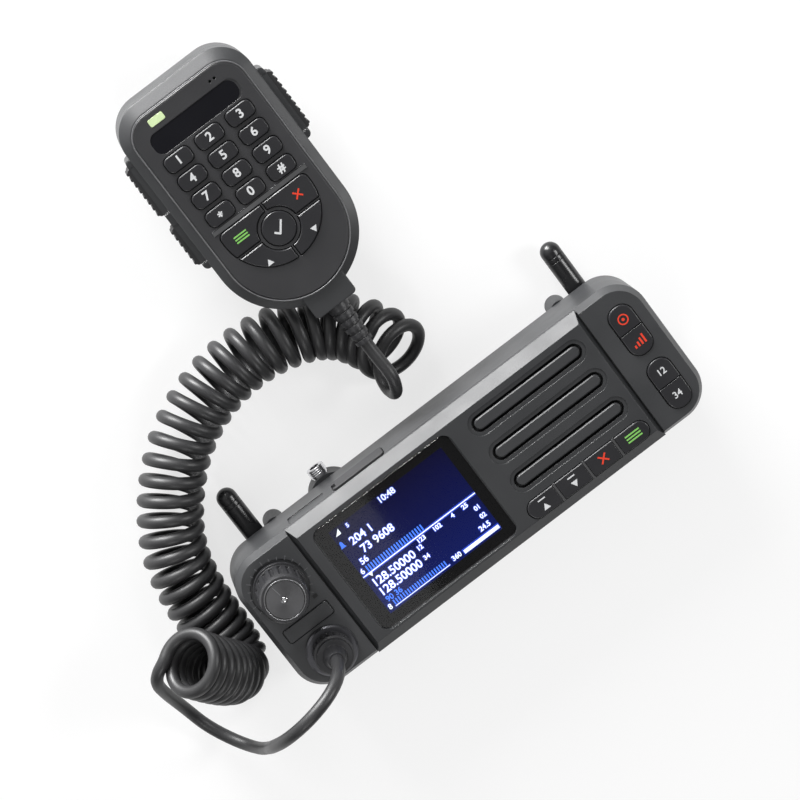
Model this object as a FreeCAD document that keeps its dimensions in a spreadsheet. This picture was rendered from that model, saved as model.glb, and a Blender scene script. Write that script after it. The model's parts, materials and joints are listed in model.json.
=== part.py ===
"""Mobile transceiver with a hand microphone, laid flat: both lie on their backs on z = 0.

X runs along the radio, Y from its lower edge to its upper edge and on to the microphone,
and Z out of its face. The origin is the middle of the radio's flat back. Millimetres.
"""
import FreeCAD, Part
import Sketcher
import math
import os
import re

V = FreeCAD.Vector
doc = FreeCAD.newDocument("transceiver")
sheet = doc.addObject("Spreadsheet::Sheet", "sizes")

SIZES = {
    # radio housing
    "radio_length": 175.5, "radio_width": 55.7, "chassis_height": 13.0, "housing_height": 25.2,
    "housing_round": 12.0, "housing_wall": 2.2, "face_thick": 4.0, "rim_wide": 3.6, "rim_deep": 1.8,
    "seam_line": 0.35, "chassis_inset": 4.6, "chassis_wall": 3.0, "chassis_floor": 6.0,
    "chassis_flange": 2.0,
    "fin_deep": 3.0, "fin_gap": 3.4, "fin_pitch": 8.0,
    # raised front panel and its display
    "panel_left": -60.5, "panel_right": 65.5, "panel_thick": 3.6, "panel_slope": 4.2, "panel_end": 1.8,
    "panel_gap": 0.2, "lens_x": -25.0, "lens_y": -0.4, "lens_length": 59.0, "lens_width": 44.6,
    "lens_round": 3.8, "lens_thick": 1.2, "view_length": 50.0, "view_width": 37.8, "lcd_thick": 2.5,
    "lcd_border": 3.0,
    # loudspeaker slots
    "slot_x": 36.2, "slot_y": 4.1, "slot_pitch": 12.6, "slot_run": 40.6, "slot_half": 3.1, "bar_half": 2.1,
    "ring_half": 4.5, "ring_deep": 0.4, "grille_thick": 1.2, "speaker_radius": 15.5, "speaker_deep": 7.5,
    # keys on the radio
    "row_x": 36.3, "row_y": -20.0, "row_length": 51.8, "row_width": 7.2, "row_pitch": 12.95,
    "divider_wide": 1.0, "key_gap": 0.25, "key_proud": 0.5, "key_thick": 4.4, "key_flange": 0.9,
    "key_split": 0.35, "pill_x": 77.1, "pill_y": -1.4, "pill_pitch": 23.6, "pill_length": 19.8,
    "pill_width": 9.4, "pill_round": 4.3, "key_edge": 0.45,
    # tuning knob
    "knob_x": -74.0, "knob_y": 12.6, "knob_radius": 9.6, "knob_skirt": 2.0, "knob_neck": 8.9,
    "knob_top": 8.2, "knob_height": 16.0, "knob_clear": 0.3, "cap_radius": 7.4, "cap_thick": 0.8,
    "shaft_radius": 3.0, "bush_radius": 4.4, "shaft_clear": 0.05, "flute_radius": 0.75,
    # microphone socket and plug
    "plug_x": -73.0, "plug_y": -16.3, "socket_radius": 9.2, "socket_barrel": 8.0, "socket_proud": 1.6,
    "socket_bore": 6.1, "plug_radius": 5.7, "collar_radius": 7.2, "collar_height": 6.6,
    "boot_radius": 4.4, "boot_tip": 3.0, "boot_height": 5.4,
    # upper side: port cover, recess, label plate
    "cover_left": -38.6, "cover_length": 21.7, "cover_tall": 9.8, "cover_thick": 1.4, "cover_proud": 0.5,
    "cover_gap": 0.3, "recess_left": -58.0, "recess_length": 15.4, "recess_deep": 0.5,
    "label_x": -73.4, "label_y": -3.1, "label_length": 18.6, "label_width": 5.0, "label_proud": 0.4,
    # antennas and jacks on the chassis
    "antenna_left_x": -71.1, "antenna_right_x": 72.7, "antenna_z": 7.0, "antenna_radius": 3.75,
    "antenna_tip": 46.5, "antenna_foot": 27.0, "jack_x": -40.0, "jack_radius": 3.175,
    "jack_root": 2.9, "jack_tip": 32.6, "jack_flange": 9.0, "antenna_groove": 0.35, "jack_core": 1.9,
    # chassis bosses, inlet and screws
    "boss_x": 63.2, "boss_y": 24.6, "boss_radius": 3.9, "boss_hole": 1.65, "boss_deep": 10.0,
    "inlet_x": 30.0, "inlet_length": 16.0, "inlet_tall": 8.0, "inlet_deep": 7.0,
    "screw_x": 77.5, "screw_y": 13.5, "screw_radius": 1.5, "screw_head": 2.8, "screw_head_tall": 1.8,
    "screw_length": 16.0, "screw_sink": 0.7, "screw_clear": 0.08,
    # boards
    "board_thick": 1.6, "board_margin": 1.4, "board_drop": 3.2, "main_board_z": 7.6,
    "main_half_x": 69.5, "main_half_y": 15.5,
    # microphone shells
    "mic_x": 1.3, "mic_round_y": 110.3, "mic_half": 26.4, "mic_rise": 66.0, "mic_corner": 12.5,
    "mic_back_z": 8.0, "mic_seam_z": 24.0, "mic_face_z": 34.8, "mic_wall": 2.0,
    "mic_bevel": 3.4, "mic_slope": 21.0, "mic_slope_y": 126.0,
    "mic_ledge": 1.8, "neck_x": 1.3, "neck_wide": 17.0, "neck_end": 79.0, "neck_tall": 9.0,
    "mic_exit_z": 28.6,
    # microphone face plate and keys
    "plate_half": 22.7, "plate_rise": 61.2, "plate_corner": 9.0, "plate_thick": 3.0, "plate_gap": 0.3,
    "pad_x": 1.3, "number_y": 129.2, "number_pitch_x": 13.0, "number_pitch_y": 7.75, "number_length": 10.3,
    "number_width": 5.9, "number_round": 2.1, "number_proud": 1.0, "number_flange": 0.6,
    "ok_y": 113.0, "ok_radius": 6.0, "ok_ring": 7.6, "zone_half": 18.4, "zone_rise": 4.0, "zone_corner": 2.4,
    "zone_split": 1.1, "bar_y": 124.7, "bar_length": 39.6, "bar_width": 1.5, "bar_deep": 1.2,
    "light_x": -9.5, "light_y": 167.9, "light_length": 6.0, "light_width": 2.8,
    # microphone side pads, back and inside
    "ptt_low": 138.8, "ptt_high": 158.4, "side_low": 117.6, "side_high": 133.2, "grip_low": 133.0,
    "grip_high": 156.6, "pad_tall": 10.6, "pad_proud": 3.6, "pad_root": 3.2, "pad_z": 18.2, "pad_gap": 0.3,
    "rib_pitch": 2.4, "rib_radius": 0.6, "boss_proud": 2.3, "hanger_radius": 7.0, "hanger_y": 152.0,
    "hanger_neck": 4.0, "mic_board_z": 27.0, "capsule_radius": 3.6,
    "mic_screw_x": 19.5, "mic_screw_low": 129.0, "mic_screw_high": 156.0,
    "mic_back_bevel": 3.0, "mic_back_rise": 7.0, "mic_bevel_deep": 6.0, "zone_y": 119.4, "window_y": 160.6,
    "window_length": 36.0, "window_width": 8.0, "sound_x": 12.6, "sound_y": 167.2,
    # cord
    "cord_radius": 2.3, "coil_radius": 12.0, "relief_end": 62.2, "relief_root": 4.0, "relief_tip": 3.2,
}

# centre line of the coiled stretch, from the microphone's end to where it turns up
COIL_ROUTE = [(9.0, 44.5, 12.1), (6.2, 54.5, 12.1), (1.0, 64.8, 12.1), (-8.6, 74.2, 12.1),
              (-29.0, 80.5, 12.1), (-50.0, 79.5, 12.1), (-70.0, 71.5, 12.1), (-86.0, 57.5, 12.1),
              (-97.6, 40.5, 12.1), (-101.6, 21.0, 12.1), (-101.8, 0.0, 12.1)]
COIL_END = (-114.8, 12.3, 40.0)
# lead from the microphone's strain relief to the first turn
MIC_LEAD = [(1.3, 62.2, 28.6), (1.3, 53.0, 28.6), (0.5, 43.9, 27.3), (-0.8, 37.5, 20.7), (-0.5, 37.6, 13.2),
            (1.3, 42.6, 8.0)]
# lead from the last turn, down to the floor and up over the plug
RADIO_LEAD = [(-122.8, 16.6, 38.6), (-126.3, 11.8, 30.6), (-128.8, 2.6, 19.0), (-129.1, -8.5, 8.2),
              (-127.5, -19.9, 3.9), (-122.4, -30.2, 6.8), (-116.4, -35.6, 16.1), (-111.3, -31.9, 35.1),
              (-108.6, -26.1, 55.9), (-102.0, -22.7, 71.3), (-91.1, -20.5, 76.5), (-79.8, -18.4, 73.6),
              (-73.0, -16.3, 64.4), (-73.0, -16.3, 53.0)]

for line, (alias, size) in enumerate(SIZES.items(), start=1):
    sheet.set(f"A{line}", alias.replace("_", " "))
    sheet.set(f"B{line}", str(size))
    sheet.setAlias(f"B{line}", alias)
doc.recompute()


def linked(formula):
    """The formula with each named size written as a link to its cell."""
    return re.sub(r"[a-z][a-z_]+[a-z]", lambda word: "sizes." + word.group(), str(formula))


def bind(thing, name, formula):
    thing.setExpression(name, linked(formula))


def amount(formula):
    return doc.getObject("datum").evalExpression(linked(formula))


def place(thing, at, axis=(0, 0, 1), angle=0):
    """Turns thing by a fixed angle and ties its place to formulas of named sizes."""
    thing.Placement = FreeCAD.Placement(V(), FreeCAD.Rotation(V(*axis), angle))
    for letter, formula in zip("xyz", at):
        bind(thing, "Placement.Base." + letter, formula)
    return thing


def block(name, low, size):
    """A box from its low corner."""
    made = doc.addObject("Part::Box", name)
    for side, formula in zip(("Length", "Width", "Height"), size):
        bind(made, side, formula)
    return place(made, low)


TURNS = {"z": ((0, 0, 1), 0), "y": ((1, 0, 0), -90), "x": ((0, 1, 0), 90)}


def rod(name, at, radius, height, along="z"):
    made = doc.addObject("Part::Cylinder", name)
    bind(made, "Radius", radius)
    bind(made, "Height", height)
    return place(made, at, *TURNS[along])


def cone(name, at, low_radius, high_radius, height, along="z"):
    made = doc.addObject("Part::Cone", name)
    bind(made, "Radius1", low_radius)
    bind(made, "Radius2", high_radius)
    bind(made, "Height", height)
    return place(made, at, *TURNS[along])


def ball(name, at, radius):
    made = doc.addObject("Part::Sphere", name)
    bind(made, "Radius", radius)
    return place(made, at)


def cut(name, base, *tools):
    """base without the tools."""
    made = doc.addObject("Part::Cut", name)
    made.Base = base
    made.Tool = tools[0] if len(tools) == 1 else fuse(name + "_tools", *tools)
    return made


def fuse(name, *shapes):
    made = doc.addObject("Part::MultiFuse", name)
    made.Shapes = list(shapes)
    made.Refine = True
    return made


def overlap(name, *shapes):
    made = doc.addObject("Part::MultiCommon", name)
    made.Shapes = list(shapes)
    return made


def group(name, *shapes):
    """Separate solids kept in one sub-part."""
    made = doc.addObject("Part::Compound", name)
    made.Links = list(shapes)
    return made


def soften(name, base, size, level, kind="Part::Chamfer", second=None):
    """Bevels or rounds every edge of base that lies wholly at one height."""
    doc.recompute()
    height = amount(level)
    made = doc.addObject(kind, name)
    made.Base = base
    numbers = [number for number, edge in enumerate(base.Shape.Edges, start=1)
               if all(abs(corner.Z - height) < 0.001 for corner in edge.Vertexes)
               and abs(edge.BoundBox.ZLength) < 0.001]
    made.Edges = [(number, amount(size), amount(second or size)) for number in numbers]
    return made


def outline_body(name, at, turn=((0, 0, 1), 0)):
    body = doc.addObject("PartDesign::Body", name)
    place(body, at, *turn)
    sketch = body.newObject("Sketcher::SketchObject", name + "_outline")
    flat = [plane for plane in body.Origin.OriginFeatures if plane.Role == "XY_Plane"][0]
    sketch.AttachmentSupport = (flat, "")
    sketch.MapMode = "FlatFace"
    return body, sketch


def add_size(sketch, name, formula, *constraint):
    number = sketch.addConstraint(constraint[0](*constraint[1:], amount(formula)))
    sketch.renameConstraint(number, name)
    bind(sketch, "Constraints." + name, formula)


def limit(kind):
    return lambda *values: Sketcher.Constraint(kind, *values)


def join_ends(sketch, count):
    """Each piece of the outline runs smoothly into the next."""
    for number in range(count):
        sketch.addConstraint(limit("Tangent")(number, 2, (number + 1) % count, 1))


def pad_outline(body, sketch, thick, taper="0"):
    pad = body.newObject("PartDesign::Pad", body.Name + "_pad")
    pad.Profile = sketch
    bind(pad, "Length", thick)
    bind(pad, "TaperAngle", taper)
    sketch.Visibility = False
    return body


def arc(centre, radius, start, end):
    circle = Part.Circle(V(*centre, 0), V(0, 0, 1), radius)
    return Part.ArcOfCircle(circle, math.radians(start), math.radians(end))


def line(start, end):
    return Part.LineSegment(V(*start, 0), V(*end, 0))


def plate(name, at, length, width, corner, thick, taper="0", turn=((0, 0, 1), 0)):
    """A rounded rectangle about its own middle, given a thickness."""
    body, sketch = outline_body(name, at, turn)
    half_x, half_y, curve = amount(length) / 2, amount(width) / 2, amount(corner)
    in_x, in_y = half_x - curve, half_y - curve
    sketch.addGeometry([
        line((-in_x, -half_y), (in_x, -half_y)), arc((in_x, -in_y), curve, 270, 360),
        line((half_x, -in_y), (half_x, in_y)), arc((in_x, in_y), curve, 0, 90),
        line((in_x, half_y), (-in_x, half_y)), arc((-in_x, in_y), curve, 90, 180),
        line((-half_x, in_y), (-half_x, -in_y)), arc((-in_x, -in_y), curve, 180, 270)], False)
    join_ends(sketch, 8)
    for number in (0, 4):
        sketch.addConstraint(limit("Horizontal")(number))
    for number in (2, 6):
        sketch.addConstraint(limit("Vertical")(number))
    for number in (3, 5, 7):
        sketch.addConstraint(limit("Equal")(1, number))
    sketch.addConstraint(limit("Symmetric")(1, 3, 5, 3, -1, 1))
    add_size(sketch, "corner", corner, limit("Radius"), 1)
    add_size(sketch, "length", length, limit("DistanceX"), 7, 1, 1, 2)
    add_size(sketch, "width", width, limit("DistanceY"), 0, 1, 4, 2)
    return pad_outline(body, sketch, thick, taper)


def stadium(name, at, run, half, thick):
    """A slot outline: two half rounds, run apart, given a thickness."""
    body, sketch = outline_body(name, at)
    far, turn = amount(run) / 2, amount(half)
    sketch.addGeometry([line((-far, -turn), (far, -turn)), arc((far, 0), turn, 270, 450),
                        line((far, turn), (-far, turn)), arc((-far, 0), turn, 90, 270)], False)
    join_ends(sketch, 4)
    for number in (0, 2):
        sketch.addConstraint(limit("Horizontal")(number))
    sketch.addConstraint(limit("Symmetric")(1, 3, 3, 3, -1, 1))
    add_size(sketch, "half", half, limit("Radius"), 1)
    add_size(sketch, "run", run, limit("DistanceX"), 3, 3, 1, 3)
    return pad_outline(body, sketch, thick)


def shield(name, at, half, rise, corner, thick, taper="0"):
    """A microphone outline: a half round at the bottom and a cornered top, given a thickness."""
    body, sketch = outline_body(name, at)
    side, top, turn = amount(half), amount(rise), amount(corner)
    sketch.addGeometry([
        arc((0, 0), side, 180, 360), line((side, 0), (side, top - turn)),
        arc((side - turn, top - turn), turn, 0, 90), line((side - turn, top), (turn - side, top)),
        arc((turn - side, top - turn), turn, 90, 180), line((-side, top - turn), (-side, 0))], False)
    sketch.addConstraint(limit("Coincident")(0, 3, -1, 1))
    join_ends(sketch, 6)
    for number in (1, 5):
        sketch.addConstraint(limit("Vertical")(number))
    sketch.addConstraint(limit("Horizontal")(3))
    sketch.addConstraint(limit("Equal")(2, 4))
    add_size(sketch, "half", half, limit("Radius"), 0)
    add_size(sketch, "corner", corner, limit("Radius"), 2)
    add_size(sketch, "rise", rise, limit("DistanceY"), -1, 1, 3, 1)
    return pad_outline(body, sketch, thick, taper)


pieces = []


def sub_part(label, shape):
    shape.Label = label
    pieces.append(shape)
    return shape


datum = doc.addObject("App::FeaturePython", "datum")
END_LEVEL = "chassis_height + housing_height"
SEAT_LEVEL = END_LEVEL + " - rim_deep"
PANEL_LEVEL = SEAT_LEVEL + " + panel_thick"
FACE_BACK = END_LEVEL + " - face_thick"
BOARD_Z = FACE_BACK + " - board_drop - board_thick"


def ledge_opening(name, clear):
    """The space of the raised panel in the housing's rim, with clear left at each end."""
    return block(name, (f"panel_left - {clear}", "-radio_width", SEAT_LEVEL),
                 (f"panel_right - panel_left + 2 * {clear}", "2 * radio_width", "2 * panel_thick"))



STANDING = ((1, 0, 0), 90)
CORNERS = ((-1, -1), (-1, 1), (1, -1), (1, 1))
# each jack's place along X, the radius of its stem and how far out it ends
JACKS = (("antenna_left_x", "jack_radius", "antenna_foot"),
         ("antenna_right_x", "jack_radius", "antenna_foot"),
         ("jack_x", "jack_root", "jack_tip"))
COVER_Z = SEAT_LEVEL + " - 1.5 - cover_tall / 2"
SCREW_SPOTS = [(f"{x} * screw_x", f"{y} * screw_y") for x, y in CORNERS]


def cover_recess():
    return plate("cover_recess", ("cover_left + cover_length / 2", "radio_width / 2 + 1", COVER_Z),
                 "cover_length + 2 * cover_gap", "cover_tall + 2 * cover_gap", "1.5",
                 "1 + cover_thick - cover_proud + 0.2", turn=STANDING)


def blank_recess():
    return plate("blank_recess", ("recess_left + recess_length / 2", "radio_width / 2 + 1", COVER_Z),
                 "recess_length", "cover_tall - 1", "1.2", "1 + recess_deep", turn=STANDING)


def screw_post(number, x, y):
    """A post for one case screw, tied to the nearer end wall by a rib."""
    post = rod(f"post_{number}", (x, y, "chassis_height + 0.2"), "screw_radius + 2.2",
               BOARD_Z + " - chassis_height - 0.6")
    side = "1" if not x.startswith("-") else "-1"
    rib_x = (f"{side} * (radio_length / 2 - housing_wall / 2 + screw_x) / 2"
             " - (radio_length / 2 - screw_x) / 2")
    rib = block(f"post_rib_{number}", (rib_x, f"{y} - 0.9", "chassis_height + 0.2"),
                ("radio_length / 2 - screw_x", "1.8", BOARD_Z + " - chassis_height - 0.6"))
    bore = rod(f"post_bore_{number}", (x, y, "chassis_height - 1"), "screw_radius + screw_clear",
               "screw_length - chassis_height + 5")
    return cut(f"post_solid_{number}", fuse(f"post_joined_{number}", post, rib), bore)


def make_housing():
    outer = plate("housing_outer", ("0", "0", "chassis_height"), "radio_length", "radio_width",
                  "housing_round", "housing_height")
    rim = soften("housing_rim", outer, "rim_wide", END_LEVEL, second="rim_deep")
    hollow = plate("housing_hollow", ("0", "0", "chassis_height - 1"), "radio_length - 2 * housing_wall",
                   "radio_width - 2 * housing_wall", "housing_round - housing_wall",
                   "housing_height - face_thick + 1")
    opening = block("housing_opening",
                    ("panel_left + 3", "row_y - row_width / 2 - key_flange - 0.5", FACE_BACK + " - 1"),
                    ("panel_right - panel_left - 5", "20.6 - row_y + row_width / 2 + key_flange + 0.5",
                     "face_thick + 2"))
    seam_out = plate("seam_out", ("0", "0", SEAT_LEVEL + " - seam_line"), "radio_length + 2",
                     "radio_width + 2", "housing_round + 1", "seam_line")
    seam_in = plate("seam_in", ("0", "0", SEAT_LEVEL + " - seam_line - 1"), "radio_length - 2 * seam_line",
                    "radio_width - 2 * seam_line", "housing_round - seam_line", "seam_line + 2")
    label_rim = plate("label_rim", ("label_x", "label_y", END_LEVEL + " - 0.5"), "label_length + 0.9",
                      "label_width + 0.9", "1.2", "1")
    knob_hole = rod("knob_hole", ("knob_x", "knob_y", FACE_BACK + " - 1"), "bush_radius + 0.2",
                    "face_thick + 2")
    knob_rest = rod("knob_rest", ("knob_x", "knob_y", END_LEVEL + " - 0.6"), "knob_radius + 0.9", "1")
    socket_hole = rod("socket_hole", ("plug_x", "plug_y", FACE_BACK + " - 1"), "socket_barrel + 0.1",
                      "face_thick + 2")
    tools = [hollow, opening, ledge_opening("panel_seat", "panel_gap"), cut("seam_ring", seam_out, seam_in),
             label_rim, knob_hole, knob_rest, socket_hole, cover_recess(), blank_recess()]
    for side, shift in (("upper", "1"), ("lower", "-1")):
        at = ("pill_x", f"pill_y + {shift} * pill_pitch / 2", FACE_BACK + " - 1")
        tools.append(plate(side + "_key_hole", at, "pill_width + 2 * key_gap", "pill_length + 2 * key_gap",
                           "pill_round + key_gap", "face_thick + 2"))
    walls = cut("housing_walls", rim, *tools)
    label = plate("label_plate", ("label_x", "label_y", END_LEVEL + " - 1"), "label_length", "label_width",
                  "0.8", "1 + label_proud")
    posts = [screw_post(number, x, y) for number, (x, y) in enumerate(SCREW_SPOTS)]
    sub_part("front_housing", fuse("housing_solid", walls, label, *posts))


def slot_rows():
    """Each loudspeaker slot's number and its place along Y."""
    return [(number, f"slot_y + {1 - number} * slot_pitch") for number in range(3)]


def make_panel():
    made = doc.addObject("Part::Wedge", "panel_block")
    for name, formula in (("Xmin", "panel_left"), ("Xmax", "panel_right"),
                          ("Ymin", "0"), ("Ymax", "panel_thick"),
                          ("Zmin", "-radio_width / 2"), ("Zmax", "radio_width / 2"),
                          ("X2min", "panel_left + panel_end"), ("X2max", "panel_right - panel_end"),
                          ("Z2min", "panel_slope - radio_width / 2"),
                          ("Z2max", "radio_width / 2 - panel_slope")):
        bind(made, name, formula)
    place(made, ("0", "0", SEAT_LEVEL), (1, 0, 0), 90)
    lens_seat = plate("lens_seat", ("lens_x", "lens_y", PANEL_LEVEL + " - lens_thick - 0.1"),
                      "lens_length + 2 * panel_gap", "lens_width + 2 * panel_gap",
                      "lens_round + panel_gap", "3")
    view = plate("view_opening", ("lens_x", "lens_y", SEAT_LEVEL + " - 1"), "view_length", "view_width",
                 "1", "4")
    row = stadium("row_opening", ("row_x", "row_y", SEAT_LEVEL + " - 1"),
                  "row_length - row_width", "row_width / 2 + key_gap", "panel_thick + 2")
    tools = [lens_seat, view, row]
    for number, y in slot_rows():
        tools.append(stadium(f"slot_{number}", ("slot_x", y, SEAT_LEVEL + " - 1"), "slot_run", "slot_half",
                             "panel_thick + 2"))
        tools.append(stadium(f"slot_ring_{number}", ("slot_x", y, PANEL_LEVEL + " - ring_deep"), "slot_run",
                             "ring_half", "1"))
    sub_part("front_panel", cut("panel_solid", made, *tools))


def make_display():
    lens = plate("lens_plate", ("lens_x", "lens_y", PANEL_LEVEL + " - lens_thick"), "lens_length",
                 "lens_width", "lens_round", "lens_thick")
    sub_part("screen_window", soften("lens_edge", lens, "0.25", PANEL_LEVEL))
    sub_part("lcd_module", block("lcd_block", ("lens_x - view_length / 2 - lcd_border",
                                               "lens_y - view_width / 2 - lcd_border / 2",
                                               SEAT_LEVEL + " - lcd_thick - 0.1"),
                                 ("view_length + 2 * lcd_border", "view_width + lcd_border", "lcd_thick")))


def make_loudspeaker():
    sheet_z = SEAT_LEVEL + " - grille_thick - 0.05"
    back = block("grille_back",
                 ("slot_x - slot_run / 2 - ring_half - 2", "slot_y - slot_pitch - ring_half", sheet_z),
                 ("slot_run + 2 * ring_half + 4", "2 * slot_pitch + 2 * ring_half - 1", "grille_thick"))
    bars, slits = [], []
    for number, y in slot_rows():
        bar = stadium(f"bar_{number}", ("slot_x", y, sheet_z), "slot_run", "bar_half",
                      "grille_thick + panel_thick + 0.05")
        bars.append(soften(f"bar_edge_{number}", bar, "0.4", PANEL_LEVEL))
        for side, sign in (("low", "-"), ("high", "+")):
            slit_at = ("slot_x - slot_run / 2", f"{y} {sign} (bar_half + slot_half) / 2 - 0.35",
                       sheet_z + " - 1")
            slits.append(block(f"slit_{side}_{number}", slit_at, ("slot_run", "0.7", "3")))
    sub_part("speaker_grille", fuse("grille_solid", cut("grille_sheet", back, *slits), *bars))
    top = SEAT_LEVEL + " - grille_thick - 0.4"
    rim = rod("speaker_rim", ("slot_x", "slot_y", top + " - 1.6"), "speaker_radius", "1.6")
    basket = cone("speaker_basket", ("slot_x", "slot_y", top + " - speaker_deep + 1.5"),
                  "speaker_radius * 0.6", "speaker_radius - 1", "speaker_deep - 2.6")
    magnet = rod("speaker_magnet", ("slot_x", "slot_y", top + " - speaker_deep - 2"), "speaker_radius * 0.55",
                 "4")
    sub_part("speaker", fuse("speaker_solid", rim, basket, magnet))


def make_boards():
    front = block("front_board", ("board_margin + housing_wall - radio_length / 2",
                                  "board_margin + housing_wall - radio_width / 2 + 4", BOARD_Z),
                  ("radio_length - 2 * board_margin - 2 * housing_wall",
                   "radio_width - 2 * board_margin - 2 * housing_wall - 8", "board_thick"))
    hole = rod("speaker_room", ("slot_x", "slot_y", BOARD_Z + " - 1"), "speaker_radius + 0.6",
               "board_thick + 2")
    encoder = block("encoder_can", ("knob_x - 6", "knob_y - 6", BOARD_Z + " + board_thick"),
                    ("12", "12", FACE_BACK + " - (" + BOARD_Z + ") - board_thick - 0.1"))
    bush = rod("encoder_bush", ("knob_x", "knob_y", BOARD_Z), "bush_radius",
               END_LEVEL + " + 2.2 - (" + BOARD_Z + ")")
    bore = rod("encoder_bore", ("knob_x", "knob_y", BOARD_Z + " + board_thick + 0.5"),
               "shaft_radius + shaft_clear", "20")
    joined = fuse("control_joined", cut("control_sheet", front, hole), encoder, bush)
    sub_part("control_board", cut("control_solid", joined, bore))
    main = block("main_sheet", ("-main_half_x", "-main_half_y", "main_board_z"),
                 ("2 * main_half_x", "2 * main_half_y", "board_thick"))
    cans = [block(f"shield_can_{number}", (x, "-9", "main_board_z + board_thick"), ("26", "18", "2.4"))
            for number, x in enumerate(("-60", "-24", "34"))]
    feet = [rod(f"board_foot_{number}", (f"{x} * (main_half_x - 6)", f"{y} * (main_half_y - 4)",
                                         "chassis_floor + 0.05"), "2", "main_board_z - chassis_floor")
            for number, (x, y) in enumerate(CORNERS)]
    sub_part("main_board", fuse("main_solid", main, *cans, *feet))


def key_blank(name, outline, flange):
    """A key's cap with a wider flange behind the face, before it is split."""
    capped = soften(name + "_edge", outline, "key_edge", KEY_TOP[name.split("_")[0]], "Part::Fillet")
    return fuse(name + "_blank", capped, flange)


KEY_TOP = {"row": PANEL_LEVEL + " + key_proud", "pill": END_LEVEL + " + key_proud + 0.2"}
ROW_KEYS = ["key_up", "key_down", "key_exit", "key_menu"]
PILL_KEYS = [("key_call", "key_network"), ("key_band", "key_channel")]


def make_row_keys():
    """Four keys cut from one long pill, with a divider strip between each two."""
    low = KEY_TOP["row"] + " - key_thick"
    cap = stadium("row_cap", ("row_x", "row_y", low), "row_length - row_width", "row_width / 2", "key_thick")
    flange = stadium("row_flange", ("row_x", "row_y", low + " - 1"), "row_length - row_width",
                     "row_width / 2 + key_flange - 0.1", "1.1")
    blank = key_blank("row", cap, flange)
    for number, label in enumerate(ROW_KEYS):
        left = f"row_x + {number - 2} * row_pitch + divider_wide / 2 + 0.12"
        reach = "row_pitch - divider_wide - 0.24"
        if number in (0, 3):
            reach += " + row_length"
        if number == 0:
            left += " - row_length"
        keep = block(label + "_room", (left, "row_y - row_width", low + " - 2"),
                     (reach, "2 * row_width", "2 * key_thick"))
        sub_part(label, overlap(label + "_solid", blank, keep))
    strips = [block(f"divider_{number}", (f"row_x + {number - 1} * row_pitch - divider_wide / 2",
                                          "row_y - row_width / 2 - key_gap", SEAT_LEVEL),
                    ("divider_wide", "row_width + 2 * key_gap", "panel_thick + 0.1"))
              for number in range(3)]
    sub_part("key_dividers", group("divider_group", *strips))


def make_pill_keys():
    """Two upright pills at the radio's right end, each split into two keys."""
    low = KEY_TOP["pill"] + " - key_thick - 1"
    for side, labels in zip((1, -1), PILL_KEYS):
        middle = f"pill_y + {side} * pill_pitch / 2"
        name = f"pill_{'upper' if side == 1 else 'lower'}"
        cap = plate(name + "_cap", ("pill_x", middle, low), "pill_width", "pill_length", "pill_round",
                    "key_thick + 1")
        flange = plate(name + "_flange", ("pill_x", middle, low + " - 0.8"), "pill_width + 2 * key_flange",
                       "pill_length + 2 * key_flange", "pill_round + key_flange", "0.8")
        blank = key_blank(name, cap, flange)
        for half, label in zip((1, -1), labels):
            y = middle + (" + key_split / 2" if half == 1 else " - key_split / 2 - pill_length")
            keep = block(label + "_room", ("pill_x - pill_width", y, low + " - 2"),
                         ("2 * pill_width", "pill_length", "3 * key_thick"))
            sub_part(label, overlap(label + "_solid", blank, keep))


def make_knob():
    foot = END_LEVEL + " + knob_clear"
    skirt = rod("knob_skirt_ring", ("knob_x", "knob_y", foot), "knob_radius", "knob_skirt")
    neck = cone("knob_grip", ("knob_x", "knob_y", foot + " + knob_skirt"), "knob_neck", "knob_neck - 0.2",
                "knob_height - knob_skirt - 1.4")
    top = cone("knob_shoulder", ("knob_x", "knob_y", foot + " + knob_height - 1.4"), "knob_neck - 0.2",
               "knob_top", "1.4")
    joined = fuse("knob_body", skirt, neck, top)
    flutes = []
    for number in range(18):
        turn = math.radians(20 * number)
        flutes.append(rod(f"flute_{number}", (f"knob_x + knob_neck * {math.cos(turn):.6f}",
                                              f"knob_y + knob_neck * {math.sin(turn):.6f}",
                                              foot + " + knob_skirt + 0.8"), "flute_radius",
                          "knob_height - knob_skirt - 3.4"))
    room = rod("bush_room", ("knob_x", "knob_y", foot + " - 1"), "bush_radius + 0.4", "4.6")
    seat = rod("cap_seat", ("knob_x", "knob_y", foot + " + knob_height - cap_thick"), "cap_radius", "2")
    shaft = rod("knob_shaft", ("knob_x", "knob_y", BOARD_Z + " + board_thick + 0.7"), "shaft_radius",
                foot + " + 5 - (" + BOARD_Z + ") - board_thick - 0.7")
    grip = cut("knob_hollowed", joined, *flutes, room, seat)
    sub_part("tuning_knob", fuse("knob_solid", grip, shaft))
    cap = rod("cap_disc", ("knob_x", "knob_y", foot + " + knob_height - cap_thick"), "cap_radius",
              "cap_thick + 0.1")
    dimple = ball("cap_dimple", ("knob_x", "knob_y", foot + " + knob_height + 2.2"), "2.5")
    sub_part("knob_cap", cut("cap_solid", cap, dimple))


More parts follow.
